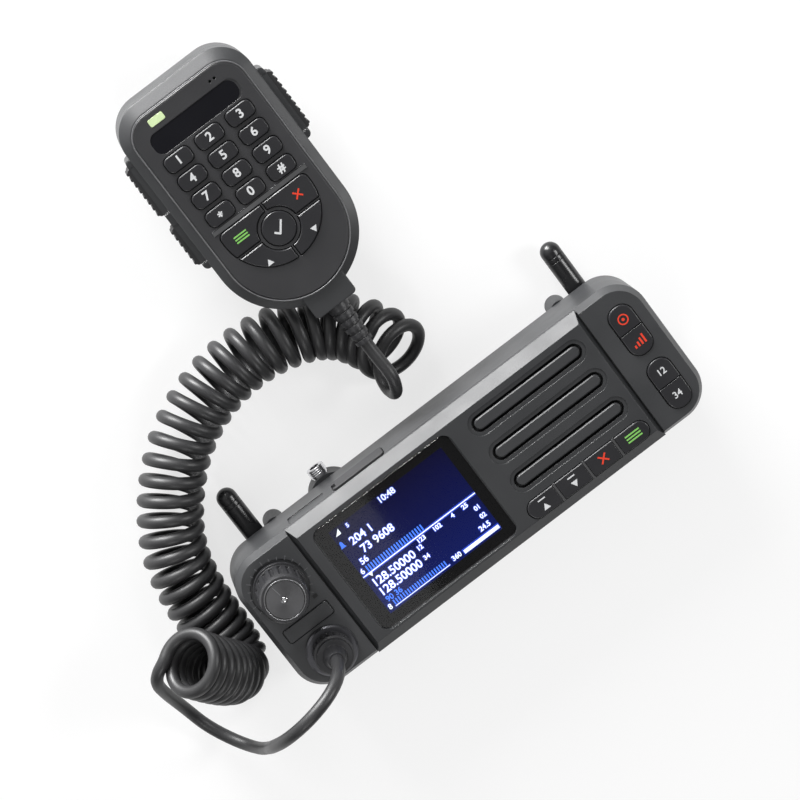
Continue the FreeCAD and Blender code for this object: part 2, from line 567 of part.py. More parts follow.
def make_socket_and_plug():
    at = ("plug_x", "plug_y")
    low = FACE_BACK + " - 2.6"
    flange = rod("socket_flange", (*at, END_LEVEL), "socket_radius", "socket_proud")
    lip = soften("socket_lip", flange, "0.6", END_LEVEL + " + socket_proud")
    barrel = rod("socket_barrel_ring", (*at, low), "socket_barrel", "face_thick + 2.7")
    bore = rod("socket_opening", (*at, low + " + 1.6"), "socket_bore", "20")
    sub_part("mic_socket", cut("socket_solid", fuse("socket_body", lip, barrel), bore))
    top = END_LEVEL + " + socket_proud"
    insert = rod("plug_insert", (*at, low + " + 1.9"), "plug_radius",
                 "face_thick + socket_proud + collar_height + 1.2")
    shoulder = rod("plug_shoulder", (*at, top + " + collar_height + 0.1"), "plug_radius + 0.5", "1.2")
    boot = cone("plug_boot", (*at, top + " + collar_height + 1.2"), "boot_radius", "boot_tip", "boot_height")
    sub_part("plug_body", fuse("plug_solid", insert, shoulder, boot))
    ring = rod("collar_ring", (*at, top + " + 0.1"), "collar_radius", "collar_height - 0.1")
    edge = soften("collar_edge", ring, "0.6", top + " + collar_height")
    room = rod("collar_bore", (*at, top), "plug_radius + 0.08", "collar_height + 1")
    grooves = []
    for number in range(20):
        turn = math.radians(18 * number)
        grooves.append(rod(f"collar_groove_{number}", (f"plug_x + collar_radius * {math.cos(turn):.6f}",
                                                       f"plug_y + collar_radius * {math.sin(turn):.6f}",
                                                       top + " + 1.2"), "0.45", "collar_height - 2.6"))
    sub_part("plug_collar", cut("collar_solid", edge, room, *grooves))


def make_port_cover():
    cover = plate("cover_plate", ("cover_left + cover_length / 2", "radio_width / 2 + cover_proud", COVER_Z),
                  "cover_length", "cover_tall", "1.3", "cover_thick", turn=STANDING)
    notch = block("cover_notch", ("cover_left - 1", "radio_width / 2 - cover_thick - 1", COVER_Z + " - 2.2"),
                  ("2.4", "2 + cover_thick + cover_proud", "4.4"))
    sub_part("port_cover", cut("cover_solid", cover, notch))


def make_chassis():
    base = plate("chassis_tray", ("0", "0", "0"), "radio_length - 2 * chassis_inset",
                 "radio_width - 2 * chassis_inset", "housing_round - chassis_inset + 2",
                 "chassis_height")
    lid = plate("chassis_rim", ("0", "0", "chassis_height - chassis_flange"), "radio_length - 1",
                "radio_width - 1", "housing_round - 0.5", "chassis_flange")
    hollow = plate("chassis_hollow", ("0", "0", "chassis_floor"),
                   "radio_length - 2 * chassis_inset - 2 * chassis_wall",
                   "radio_width - 2 * chassis_inset - 2 * chassis_wall", "3", "chassis_height")
    bosses, holes, tools = [], [], [hollow]
    for number, (x, y) in enumerate(CORNERS):
        spot = (f"{x} * boss_x", f"{y} * boss_y")
        bosses.append(rod(f"boss_{number}", (*spot, "0"), "boss_radius", "chassis_height - 0.4"))
        holes.append(rod(f"boss_hole_{number}", (*spot, "-1"), "boss_hole", "boss_deep + 1"))
    hump = rod("jack_hump", ("jack_x", "radio_width / 2 + 1.2 - jack_flange", "1.5"), "jack_flange",
               "chassis_height - chassis_flange - 1.5")
    joined = fuse("chassis_joined", base, lid, *bosses, hump)
    for number in range(-2, 2):
        tools.append(block(f"fin_groove_{number + 2}", ("20 - radio_length / 2 + chassis_inset",
                                                        f"({number} + 0.5) * fin_pitch - fin_gap / 2", "-1"),
                           ("radio_length - 2 * chassis_inset - 40", "fin_gap", "fin_deep + 1")))
    for number, (x, stem, _) in enumerate(JACKS):
        tools.append(rod(f"jack_hole_{number}",
                         (x, "radio_width / 2 - chassis_inset - chassis_wall - 8", "antenna_z"),
                         f"{stem} + 0.06", "40", "y"))
    for number, (x, y) in enumerate(SCREW_SPOTS):
        tools.append(rod(f"screw_hole_{number}", (x, y, "-1"), "screw_radius + screw_clear",
                         "chassis_height + 2"))
        tools.append(rod(f"head_sink_{number}", (x, y, "-1"), "screw_head + 0.2",
                         "1 + screw_sink + screw_head_tall"))
    tools.append(block("inlet_room", ("inlet_x - inlet_length / 2 - 0.1",
                                      "chassis_inset - radio_width / 2 - 1", "chassis_floor - 3.1"),
                       ("inlet_length + 0.2", "inlet_deep + 1.1", "inlet_tall + 0.2")))
    sub_part("rear_chassis", cut("chassis_solid", joined, *tools, *holes))


def make_antennas():
    """Two stub antennas on screw jacks, and a third, bare jack between them."""
    start = "radio_width / 2 - chassis_inset - chassis_wall - 3"
    clear = "radio_width / 2 + 1.35"
    barrel = rod("jack_barrel", ("jack_x", clear, "antenna_z"), "jack_radius", f"jack_tip - ({clear})", "y")
    jacks = []
    for number, (x, stem, end) in enumerate(JACKS):
        body = rod(f"jack_body_{number}", (x, start, "antenna_z"), stem, f"{end} - ({start})", "y")
        if x == "jack_x":
            body = fuse("jack_stepped", body, barrel)
        core = rod(f"jack_bore_{number}", (x, f"{end} - 3", "antenna_z"), "jack_core", "4", "y")
        pin = rod(f"jack_pin_{number}", (x, f"{end} - 4", "antenna_z"), "0.45", "3.4", "y")
        jacks.append(fuse(f"jack_{number}", cut(f"jack_shell_{number}", body, core), pin))
    sub_part("antenna_jacks", group("jack_group", *jacks))
    for side in ("left", "right"):
        x = f"antenna_{side}_x"
        foot = "radio_width / 2 - chassis_inset + 0.3"
        stem = rod(f"antenna_{side}_stem", (x, foot, "antenna_z"), "antenna_radius",
                   f"antenna_tip - antenna_radius - ({foot})", "y")
        dome = ball(f"antenna_{side}_dome", (x, "antenna_tip - antenna_radius", "antenna_z"),
                    "antenna_radius")
        tools = [rod(f"antenna_{side}_bore", (x, f"{foot} - 1", "antenna_z"), "jack_radius + 0.06",
                     f"antenna_foot + 1.2 - ({foot})", "y")]
        for number, back in enumerate((5.6, 7.4)):
            ring = rod(f"antenna_{side}_ring_{number}", (x, f"antenna_tip - {back}", "antenna_z"),
                       "antenna_radius + 1", "0.45", "y")
            core = rod(f"antenna_{side}_core_{number}", (x, f"antenna_tip - {back} - 1", "antenna_z"),
                       "antenna_radius - antenna_groove", "3", "y")
            tools.append(cut(f"antenna_{side}_groove_{number}", ring, core))
        body = fuse(f"antenna_{side}_body", stem, dome)
        sub_part(f"antenna_{side}", cut(f"antenna_{side}_solid", body, *tools))


def make_inlet():
    outside = "chassis_inset - radio_width / 2"
    shell = block("inlet_shell", ("inlet_x - inlet_length / 2", outside, "chassis_floor - 3"),
                  ("inlet_length", "inlet_deep", "inlet_tall"))
    mouth = block("inlet_mouth", ("inlet_x - inlet_length / 2 + 1.4", outside + " - 1",
                                  "chassis_floor - 1.6"),
                  ("inlet_length - 2.8", "inlet_deep - 1", "inlet_tall - 2.8"))
    blades = [block(f"inlet_blade_{number}", (f"inlet_x + {side} * 3.2 - 0.4", outside + " + 2",
                                              "chassis_floor - 1.0"),
                    ("0.8", "inlet_deep - 2.5", "inlet_tall - 4"))
              for number, side in enumerate((-1, 1))]
    sub_part("power_inlet", fuse("inlet_solid", cut("inlet_hollow", shell, mouth), *blades))


MIC_AT = ("mic_x", "mic_round_y")
PLATE_LEVEL = "mic_face_z + 0.2"
PLATE_BACK = "mic_face_z - plate_thick"
MIC_SPOTS = [(f"mic_x + {x} * mic_screw_x", y) for x in (-1, 1) for y in ("mic_screw_low", "mic_screw_high")]
MIC_LEFT = "mic_x - mic_half"
MIC_RIGHT = "mic_x + mic_half"


def slope_tool(name, lift):
    """What lies under the microphone's back where it rises towards the cord."""
    made = doc.addObject("Part::Box", name)
    for side, formula in (("Length", "4 * mic_half"), ("Width", "mic_rise * 2"), ("Height", "mic_half * 2")):
        bind(made, side, formula)
    return place(made, ("mic_x - 2 * mic_half", "mic_slope_y", f"mic_back_z + {lift}"), (1, 0, 0),
                 180 - SIZES["mic_slope"])


def side_room(name, low, high, side, clear):
    """The pocket that one side pad sits in."""
    x = f"{MIC_LEFT} - 2 * boss_proud" if side == -1 else f"{MIC_RIGHT} - pad_root + {clear}"
    reach = f"2 * boss_proud + pad_root - {clear}"
    return block(name, (x, f"{low} - pad_gap", "pad_z - pad_tall / 2 - pad_gap"),
                 (reach, f"{high} - {low} + 2 * pad_gap", "pad_tall + 2 * pad_gap"))


def make_rear_shell():
    outer = shield("rear_outer", (*MIC_AT, "mic_back_z"), "mic_half", "mic_rise", "mic_corner",
                   "mic_seam_z - mic_back_z")
    outer = soften("rear_bevel", outer, "mic_back_bevel", "mic_back_z", second="mic_back_rise")
    cavity = shield("rear_cavity", (*MIC_AT, "mic_back_z + mic_wall"), "mic_half - mic_wall * 2.1",
                    "mic_rise - mic_wall * 2.1", "mic_corner - mic_wall * 2.1", "mic_seam_z")
    cavity = cut("rear_cavity_sloped", cavity, slope_tool("cavity_slope", "mic_wall + 0.4"))
    boss_low, boss_tall = "pad_z - pad_tall / 2 - 1.4", "mic_seam_z - pad_z + pad_tall / 2 + 1.3"
    left = plate("left_boss", (MIC_LEFT, "(side_low + ptt_high) / 2", boss_low), "2 * boss_proud",
                 "ptt_high - side_low + 6", "1.8", boss_tall)
    right = plate("right_boss", (MIC_RIGHT, "(grip_low + grip_high) / 2", boss_low), "2 * boss_proud",
                  "grip_high - grip_low + 6", "1.8", boss_tall)
    body = cut("rear_hollowed", fuse("rear_joined", outer, left, right), cavity,
               slope_tool("rear_slope", "0"))
    posts = [rod(f"rear_post_{number}", (x, y, "mic_back_z + 0.5"), "screw_radius + 1.8",
                 "mic_seam_z - mic_back_z - 0.5") for number, (x, y) in enumerate(MIC_SPOTS)]
    tools = [side_room("ptt_room", "ptt_low", "ptt_high", -1, "0"),
             side_room("side_room", "side_low", "side_high", -1, "0"),
             side_room("grip_room", "grip_low", "grip_high", 1, "1.2"),
             rod("hanger_hole", ("mic_x", "hanger_y", "0"), "hanger_neck + 0.06",
                 "mic_back_z + mic_wall + 0.4")]
    for number, (x, y) in enumerate(MIC_SPOTS):
        tools.append(rod(f"rear_hole_{number}", (x, y, "0"), "screw_radius + screw_clear", "2 * mic_seam_z"))
        tools.append(rod(f"rear_sink_{number}", (x, y, "0"), "screw_head + 0.2",
                         "mic_back_z + screw_sink + screw_head_tall"))
    sub_part("mic_rear_shell", cut("rear_solid", fuse("rear_posted", body, *posts), *tools))


def make_front_shell():
    outer = shield("front_outer", (*MIC_AT, "mic_seam_z + 0.05"), "mic_half", "mic_rise", "mic_corner",
                   "mic_face_z - mic_seam_z - 0.05")
    outer = soften("front_bevel", outer, "mic_bevel", "mic_face_z", second="mic_bevel_deep")
    neck = plate("front_neck", ("neck_x", "neck_end + (mic_round_y - mic_half - neck_end) / 2 + 2.5",
                                "mic_exit_z - neck_tall / 2"), "neck_wide",
                 "mic_round_y - mic_half - neck_end + 5", "1.6", "neck_tall")
    cavity = shield("front_cavity", (*MIC_AT, "mic_seam_z - 1"), "mic_half - mic_wall", "mic_rise - mic_wall",
                    "mic_corner - mic_wall", PLATE_BACK + " - mic_ledge - mic_seam_z + 1")
    seat = shield("plate_seat", (*MIC_AT, PLATE_BACK + " - 0.05"), "plate_half + plate_gap",
                  "plate_rise + plate_gap", "plate_corner + plate_gap", "10")
    opening = shield("plate_opening", (*MIC_AT, PLATE_BACK + " - mic_ledge - 1"), "plate_half - 2.5",
                     "plate_rise - 2.5", "plate_corner - 2.5", "mic_ledge + 2")
    posts = [rod(f"front_post_{number}", (x, y, "mic_seam_z + 0.05"), "screw_radius + 1.8",
                 PLATE_BACK + " - mic_seam_z") for number, (x, y) in enumerate(MIC_SPOTS)]
    hollowed = cut("front_hollowed", fuse("front_joined", outer, neck), cavity)
    tools = [rod(f"front_bore_{number}", (x, y, "mic_seam_z - 1"), "screw_radius + screw_clear", "3.9")
             for number, (x, y) in enumerate(MIC_SPOTS)]
    tools.append(rod("relief_hole", ("neck_x", "neck_end - 2", "mic_exit_z"), "relief_root * 0.8 + 0.05",
                     "14", "y"))
    posted = fuse("front_posted", hollowed, *posts)
    sub_part("mic_front_shell", cut("front_solid", posted, seat, opening, *tools))


def number_spots():
    """Each number key's name and its middle, row by row from the top."""
    names = ("one", "two", "three", "four", "five", "six", "seven", "eight", "nine", "star", "zero", "hash")
    return [(f"mic_key_{name}", f"pad_x + {place % 3 - 1} * number_pitch_x",
             f"number_y + {3 - place // 3} * number_pitch_y") for place, name in enumerate(names)]


def function_shapes(prefix, grow, low, thick):
    """The five keys under the divider bar, each larger all round by grow."""
    zone_at = ("pad_x", "zone_y", low)
    shapes = {}
    for name, side, above in (("menu", -1, True), ("exit", 1, True), ("up", -1, False), ("down", 1, False)):
        zone = shield(f"{prefix}_{name}_zone", zone_at, f"zone_half + {grow}", f"zone_rise + {grow}",
                      "zone_corner", thick)
        x = f"pad_x + zone_split / 2 - {grow}" if side == 1 else "pad_x - 2 * zone_half"
        y = f"ok_y + zone_split / 2 - {grow}" if above else "ok_y - 2 * zone_half"
        room = block(f"{prefix}_{name}_quarter", (x, y, low),
                     (f"2 * zone_half - zone_split / 2 + {grow}", f"2 * zone_half - zone_split / 2 + {grow}",
                      thick))
        ring = rod(f"{prefix}_{name}_ring", ("pad_x", "ok_y", f"{low} - 1"), f"ok_ring - {grow}",
                   f"{thick} + 2")
        shapes[name] = cut(f"{prefix}_{name}_shape", overlap(f"{prefix}_{name}_part", zone, room), ring)
    shapes["ok"] = rod(f"{prefix}_ok_shape", ("pad_x", "ok_y", low), f"ok_radius + {grow}", thick)
    return shapes


def make_face_plate():
    outer = shield("face_outer", (*MIC_AT, PLATE_BACK), "plate_half", "plate_rise", "plate_corner",
                   "plate_thick + 0.2")
    outer = soften("face_edge", outer, "0.6", PLATE_LEVEL)
    tools = list(function_shapes("hole", "key_gap", PLATE_BACK + " - 1", "plate_thick + 3").values())
    for name, x, y in number_spots():
        tools.append(plate(name + "_hole", (x, y, PLATE_BACK + " - 1"), "number_length + 2 * key_gap",
                           "number_width + 2 * key_gap", "number_round + key_gap", "plate_thick + 3"))
    groove_at = ("pad_x + 0.4 - bar_length / 2 - 0.05", "bar_y - bar_width / 2 - 0.05",
                 PLATE_LEVEL + " - bar_deep")
    tools.append(block("bar_groove", groove_at, ("bar_length + 0.1", "bar_width + 0.1", "5")))
    tools.append(plate("light_hole", ("light_x", "light_y", PLATE_BACK + " - 1"), "light_length + 0.1",
                       "light_width + 0.1", "0.6", "plate_thick + 3"))
    tools.append(plate("blank_window", ("pad_x + 0.5", "window_y", PLATE_LEVEL + " - 0.3"), "window_length",
                       "window_width", "3.2", "2"))
    for number in range(2):
        tools.append(rod(f"sound_hole_{number}",
                         (f"sound_x + {number} * 1.9", "sound_y", PLATE_BACK + " - 1"), "0.5",
                         "plate_thick + 3"))
    sub_part("mic_face_plate", cut("face_solid", outer, *tools))
    bar = block("bar_block", ("pad_x + 0.4 - bar_length / 2", "bar_y - bar_width / 2",
                              PLATE_LEVEL + " - bar_deep"), ("bar_length", "bar_width", "bar_deep + 0.25"))
    sub_part("mic_bar", bar)
    light = plate("light_block", ("light_x", "light_y", PLATE_BACK + " + 0.2"), "light_length", "light_width",
                  "0.6", "plate_thick + 0.1")
    sub_part("signal_light", light)


def make_mic_keys():
    low = PLATE_BACK + " - 1.6"
    top = PLATE_LEVEL + " + number_proud"
    for name, x, y in number_spots():
        cap = plate(name + "_cap", (x, y, low), "number_length", "number_width", "number_round",
                    top + " - (" + low + ")")
        cap = soften(name + "_edge", cap, "key_edge", top, "Part::Fillet")
        flange = plate(name + "_flange", (x, y, low), "number_length + 2 * number_flange",
                       "number_width + 2 * number_flange", "number_round + number_flange", "1.1")
        sub_part(name, fuse(name + "_solid", cap, flange))
    top = PLATE_LEVEL + " + number_proud * 0.6"
    for name, shape in function_shapes("key", "0", low, top + " - (" + low + ")").items():
        cap = soften(f"function_{name}_edge", shape, "0.3", top)
        sub_part(f"mic_key_{name}", cap)


def ribs(prefix, x, low, high):
    """Upright ribs along one side pad."""
    count = int((amount(high) - amount(low)) / amount("rib_pitch"))
    return [rod(f"{prefix}_rib_{number}", (x, f"{low} + {number + 0.5} * ({high} - {low}) / {count}",
                                           "pad_z - pad_tall / 2 + 0.6"), "rib_radius", "pad_tall - 1.2")
            for number in range(count)]


def make_side_pads():
    for label, low, high, side, slack in (("ptt_button", "ptt_low", "ptt_high", -1, "1.2"),
                                          ("side_button", "side_low", "side_high", -1, "1.2"),
                                          ("grip_pad", "grip_low", "grip_high", 1, "1.3")):
        depth = f"pad_proud + pad_root - {slack}"
        x = f"{MIC_LEFT} - pad_proud" if side == -1 else f"{MIC_RIGHT} - pad_root + {slack}"
        edge = f"{MIC_LEFT} - pad_proud" if side == -1 else f"{MIC_RIGHT} + pad_proud"
        pad = plate(label + "_pad", (f"{x} + ({depth}) / 2", f"({low} + {high}) / 2", "pad_z - pad_tall / 2"),
                    depth, f"{high} - {low}", "1.1", "pad_tall")
        sub_part(label, fuse(label + "_solid", pad, *ribs(label, edge, low, high)))


def make_mic_inside():
    sheet_body = shield("mic_board_sheet", (*MIC_AT, "mic_board_z"), "mic_half - mic_wall - 0.8",
                        "mic_rise - mic_wall - 2", "mic_corner - mic_wall - 0.8", "board_thick")
    notches = [rod(f"board_notch_{number}", (x, y, "mic_board_z - 1"), "screw_radius + 2.3", "4")
               for number, (x, y) in enumerate(MIC_SPOTS)]
    capsule = rod("capsule", ("sound_x + 0.9", "sound_y - 2.5", "mic_board_z + board_thick - 0.1"),
                  "capsule_radius", PLATE_BACK + " - mic_board_z - board_thick - 0.3")
    sub_part("mic_board", fuse("mic_board_solid", cut("mic_board_cut", sheet_body, *notches), capsule))
    head = rod("hanger_head", ("mic_x", "hanger_y", "0"), "hanger_radius", "2.4")
    head = soften("hanger_edge", head, "0.8", "0")
    neck = rod("hanger_stem", ("mic_x", "hanger_y", "2.3"), "hanger_neck", "mic_back_z + mic_wall - 2.4")
    sub_part("hanger_button", fuse("hanger_solid", head, neck))
    screws = []
    for number, (x, y) in enumerate(SCREW_SPOTS + MIC_SPOTS):
        low = "screw_sink" if number < len(SCREW_SPOTS) else "mic_back_z + screw_sink"
        head = rod(f"screw_head_{number}", (x, y, low), "screw_head", "screw_head_tall")
        slot = rod(f"screw_recess_{number}", (x, y, f"{low} - 1"), "1.1", "1.9")
        shank = rod(f"screw_shank_{number}", (x, y, f"{low} + screw_head_tall - 0.1"), "screw_radius",
                    "screw_length")
        screws.append(fuse(f"screw_{number}", cut(f"screw_driven_{number}", head, slot), shank))
    sub_part("case_screws", group("screw_group", *screws))


def make_strain_relief():
    """A tapered sleeve with open ribs, its root held in the microphone's neck."""
    length = "neck_end - relief_end"
    sleeve = cone("relief_sleeve", ("neck_x", "relief_end", "mic_exit_z"), "relief_tip", "relief_root",
                  length + " - 0.1", "y")
    root = rod("relief_root_rod", ("neck_x", "neck_end - 0.4", "mic_exit_z"), "relief_root * 0.8", "6.4", "y")
    tools = []
    for number in range(5):
        y = f"relief_end + {1.6 + 2.9 * number}"
        ring = rod(f"relief_ring_{number}", ("neck_x", y, "mic_exit_z"), "relief_root + 1", "1.2", "y")
        core = rod(f"relief_core_{number}", ("neck_x", f"{y} - 1", "mic_exit_z"),
                   f"relief_tip * 0.86 + {0.12 * number:.2f}", "4", "y")
        tools.append(cut(f"relief_gap_{number}", ring, core))
    sub_part("strain_relief", cut("relief_solid", fuse("relief_body", sleeve, root), *tools))


def lead_path(points):
    """Straight runs joined by tangent arcs, and the arcs' radii."""
    corners = [V(*point) for point in points]
    edges, radii, last = [], [], corners[0]
    for before, corner, after in zip(corners, corners[1:], corners[2:]):
        back, ahead = before - corner, after - corner
        turn = math.pi - back.getAngle(ahead)
        radius = 0.45 * min(back.Length, ahead.Length) / math.tan(turn / 2)
        reach = radius * math.tan(turn / 2)
        start = corner + V(back).normalize() * reach
        end = corner + V(ahead).normalize() * reach
        inward = (V(back).normalize() + V(ahead).normalize()).normalize()
        middle = corner + inward * (radius / math.cos(turn / 2) - radius)
        edges += [Part.LineSegment(last, start).toShape(), Part.Arc(start, middle, end).toShape()]
        radii.append(radius)
        last = end
    edges.append(Part.LineSegment(last, corners[-1]).toShape())
    return Part.Wire(edges), radii


def swept(points, radius):
    """A round tube along the points; prints its length, radii and how true its volume is."""
    wire, radii = lead_path(points)
    start = V(*points[0])
    circle = Part.Wire(Part.Circle(start, V(*points[1]) - start, radius).toShape())
    tube = wire.makePipeShell([circle], True, True)
    true_volume = math.pi * radius ** 2 * wire.Length
    print(f"length {wire.Length:.1f}, radii {[round(bend, 1) for bend in radii]}")
    print(f"volume ratio {tube.Volume / true_volume:.4f}")
    return tube


def cord_part(label, shape):
    made = doc.addObject("Part::Feature", label + "_solid")
    made.Shape = shape
    made.Placement = FreeCAD.Placement()
    return sub_part(label, made)


def make_cord():
    cord, coil = amount("cord_radius"), amount("coil_radius")
    coiled = swept(COIL_ROUTE, coil)
    foot, top = V(*COIL_ROUTE[-1]), V(*COIL_END)
    knee = Part.makeSphere(coil, foot)
    upright = Part.makeCylinder(coil, (top - foot).Length, foot, top - foot)
    whole = coiled.fuse([knee, upright]).removeSplitter()
    cord_part("cord_coil", whole)
    for label, route in (("cord_mic_lead", MIC_LEAD), ("cord_radio_lead", RADIO_LEAD)):
        cord_part(label, swept(route, cord))


make_housing()
make_panel()
make_display()
make_loudspeaker()
make_boards()
make_row_keys()
make_pill_keys()
make_knob()
make_socket_and_plug()
make_port_cover()
make_chassis()
make_antennas()
make_inlet()
make_rear_shell()
make_front_shell()
make_face_plate()
make_mic_keys()
make_side_pads()
make_mic_inside()
make_strain_relief()
make_cord()
doc.recompute()

for thing in doc.Objects:
    if "Invalid" in thing.State or "Error" in thing.State:
        raise RuntimeError(f"{thing.Name} failed: {thing.State}")
os.makedirs("parts", exist_ok=True)
for piece in pieces:
    if piece.Shape.isNull() or not piece.Shape.isValid():
        raise RuntimeError(f"{piece.Label} has no valid shape")
    piece.Shape.exportStep(f"parts/{piece.Label}.step")
print(len(pieces), "sub-parts")
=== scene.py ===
# %% [markdown]
# A mobile transceiver lies on its back on a table, with its hand microphone beside it
# and a curly cord between them. The hard parts come ready made as a fixed frame.
# This lesson gives them their finishes, makes the cord, and adds the printed legends,
# the lit display, the knob's trim and the bare jack's thread, too fine for the frame.

# %% Load the frame
import json
import math

import bpy
from mathutils import Matrix, Vector


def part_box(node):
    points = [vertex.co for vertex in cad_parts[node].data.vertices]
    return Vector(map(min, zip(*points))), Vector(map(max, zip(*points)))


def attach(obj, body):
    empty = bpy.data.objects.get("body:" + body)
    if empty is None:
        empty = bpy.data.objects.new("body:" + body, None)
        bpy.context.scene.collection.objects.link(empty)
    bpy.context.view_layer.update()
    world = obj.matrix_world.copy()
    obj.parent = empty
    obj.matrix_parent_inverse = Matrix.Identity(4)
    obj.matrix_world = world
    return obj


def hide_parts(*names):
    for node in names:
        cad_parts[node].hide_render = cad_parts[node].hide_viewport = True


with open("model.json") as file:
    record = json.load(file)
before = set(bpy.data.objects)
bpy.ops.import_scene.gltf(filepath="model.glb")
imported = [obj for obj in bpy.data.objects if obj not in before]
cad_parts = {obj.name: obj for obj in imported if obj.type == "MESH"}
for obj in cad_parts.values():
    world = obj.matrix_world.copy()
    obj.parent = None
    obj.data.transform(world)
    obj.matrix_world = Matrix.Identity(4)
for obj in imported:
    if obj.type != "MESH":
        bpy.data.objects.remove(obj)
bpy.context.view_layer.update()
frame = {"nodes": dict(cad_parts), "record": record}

MM = 0.001
slot_of = {}
for subpart in frame["record"]["subparts"]:
    slot_of[subpart["node"]] = subpart["material_slot"]

# %% [markdown]
# The object is seen from nearly straight above, turned so that the radio runs from the
# lower left to the upper right. A long lens far away keeps its long edges parallel. The
# camera's own three directions are written down, which is surer than three angles.

# %% Camera
LOOK_AT = Vector((-0.0013, 0.0406, 0.040))
CAMERA_RIGHT = Vector((0.796, -0.589, 0.136))
CAMERA_UP = Vector((0.605, 0.775, -0.179))
CAMERA_BACK = CAMERA_RIGHT.cross(CAMERA_UP)
CAMERA_DISTANCE = 1.1496

lens = bpy.data.cameras.new("camera")
lens.lens = 150
lens.sensor_width = 36
camera = bpy.data.objects.new("camera", lens)
bpy.context.scene.collection.objects.link(camera)
turned = Matrix((CAMERA_RIGHT, CAMERA_UP, CAMERA_BACK)).transposed().to_4x4()
camera.matrix_world = Matrix.Translation(LOOK_AT + CAMERA_DISTANCE * CAMERA_BACK) @ turned
bpy.context.scene.camera = camera
print("camera at", [round(x, 3) for x in camera.matrix_world.translation])

# %% [markdown]
# Small lessons that every later cell uses: nothing may stay selected by accident, and a
# finished piece keeps its place in its mesh, with its object at the origin.

# %% Helpers for making pieces
def let_go():
    """Leaves edit mode and deselects everything."""
    if bpy.context.mode != "OBJECT":
        bpy.ops.object.mode_set(mode="OBJECT")
    bpy.ops.object.select_all(action="DESELECT")


def take(*pieces):
    """Selects only these pieces, the last one active."""
    let_go()
    for piece in pieces:
        piece.select_set(True)
    bpy.context.view_layer.objects.active = pieces[-1]


def settle(piece, name):
    """Names the piece and moves its place into its mesh."""
    take(piece)
    bpy.ops.object.transform_apply(location=True, rotation=True, scale=True)
    piece.name = name
    piece.data.name = name
    return piece


def apply_all(piece):
    """Applies the piece's modifiers in their order."""
    take(piece)
    for modifier in list(piece.modifiers):
        bpy.ops.object.modifier_apply(modifier=modifier.name)


let_go()
print("nothing selected")

# %% [markdown]
# The cord is a limp rubber cable of 4.6 mm, wound into about 39 turns. Its straight ends
# go through a few listed points. Its turns are too many to set by hand, so a loop
# puts points around a guide line: each is at the turn's radius from the guide, a little
# further round and further along than the last. All of them belong to one spline, so
# the cord stays one smooth line from the microphone to the plug.

# %% The guide that the turns wind around
def smooth_line(route):
    """Points of the smooth line that a few control points give."""
    curve = bpy.data.curves.new("guide", "CURVE")
    curve.dimensions = "3D"
    curve.resolution_u = 32
    spline = curve.splines.new("NURBS")
    spline.points.add(len(route) - 1)
    for point, place in zip(spline.points, route):
        point.co = (*(Vector(place) * MM), 1)
    spline.order_u = 3
    spline.use_endpoint_u = True
    holder = bpy.data.objects.new("guide", curve)
    mesh = bpy.data.meshes.new_from_object(holder)
    points = [vertex.co.copy() for vertex in mesh.vertices]
    bpy.data.objects.remove(holder)
    bpy.data.curves.remove(curve)
    bpy.data.meshes.remove(mesh)
    return points


COIL_ROUTE = [(9.0, 44.5, 12.1), (6.2, 54.5, 12.1), (1.0, 64.8, 12.1), (-8.6, 74.2, 12.1),
              (-29.0, 80.5, 12.1), (-50.0, 79.5, 12.1), (-70.0, 71.5, 12.1), (-86.0, 57.5, 12.1),
              (-97.6, 40.5, 12.1), (-101.6, 21.0, 12.1), (-102.2, 3.0, 12.1), (-104.3, -7.5, 14.5),
              (-109.0, -2.5, 27.0), (-114.8, 12.3, 40.0)]
guide = smooth_line(COIL_ROUTE)
guide_length = sum((b - a).length for a, b in zip(guide, guide[1:]))
print(f"guide {guide_length / MM:.0f} mm from {len(guide)} points")

# %% [markdown]
# A table of distances along the guide says how the turns lie. Next to the microphone
# they have fallen over and lean on each other. Further on they stand up and are
# stretched a little apart. At the radio's end they are packed tight.

# %% How the turns lie along the guide
CORD_DIAMETER = 4.6 * MM
TURN_RADIUS = 9.7
POINTS_PER_TURN = 16
LEAN = [(0, 52), (6, 51), (13, 45), (19, 33), (25, 20), (32, 10), (40, 0), (400, 0)]
PITCH = [(0, 8.4), (9, 7.2), (16, 6.4), (60, 6.2), (100, 7.0), (140, 6.4), (165, 5.6), (180, 3.6),
         (200, 3.4), (212, 4.4), (400, 4.6)]
RADIUS = [(0, 11.2), (12, 10.7), (25, 9.9), (40, 9.7), (190, 9.7), (215, 10.0), (230, 10.7), (400, 10.7)]


def read_table(table, where):
    """The value between the two nearest lines of a table."""
    for (left, low), (right, high) in zip(table, table[1:]):
        if where <= right:
            return low + (high - low) * (where - left) / (right - left)
    return table[-1][1]


def frames_along(points):
    """Distance, place, direction and side at each point, turned as little as possible."""
    rows = []
    travelled = 0.0
    direction = (points[1] - points[0]).normalized()
    side = Vector((0, 0, 1)).cross(direction).normalized()
    for here, there in zip(points, points[1:]):
        step = there - here
        if step.length < 1e-9:
            continue
        turned_to = step.normalized()
        side = direction.rotation_difference(turned_to) @ side
        direction = turned_to
        rows.append((travelled, here, direction, side.copy()))
        travelled += step.length
    rows.append((travelled, points[-1], direction, side.copy()))
    return rows


rows = frames_along(guide)
guide_end = rows[-1]


def at_distance(travelled):
    """Place, direction and side of the guide at a distance from its start."""
    for before, after in zip(rows, rows[1:]):
        if travelled <= after[0]:
            share = (travelled - before[0]) / (after[0] - before[0])
            return (before[1].lerp(after[1], share), before[2].lerp(after[2], share).normalized(),
                    before[3].lerp(after[3], share).normalized())
    return guide_end[1:]


print("the guide ends pointing", [round(x, 2) for x in guide_end[2]])

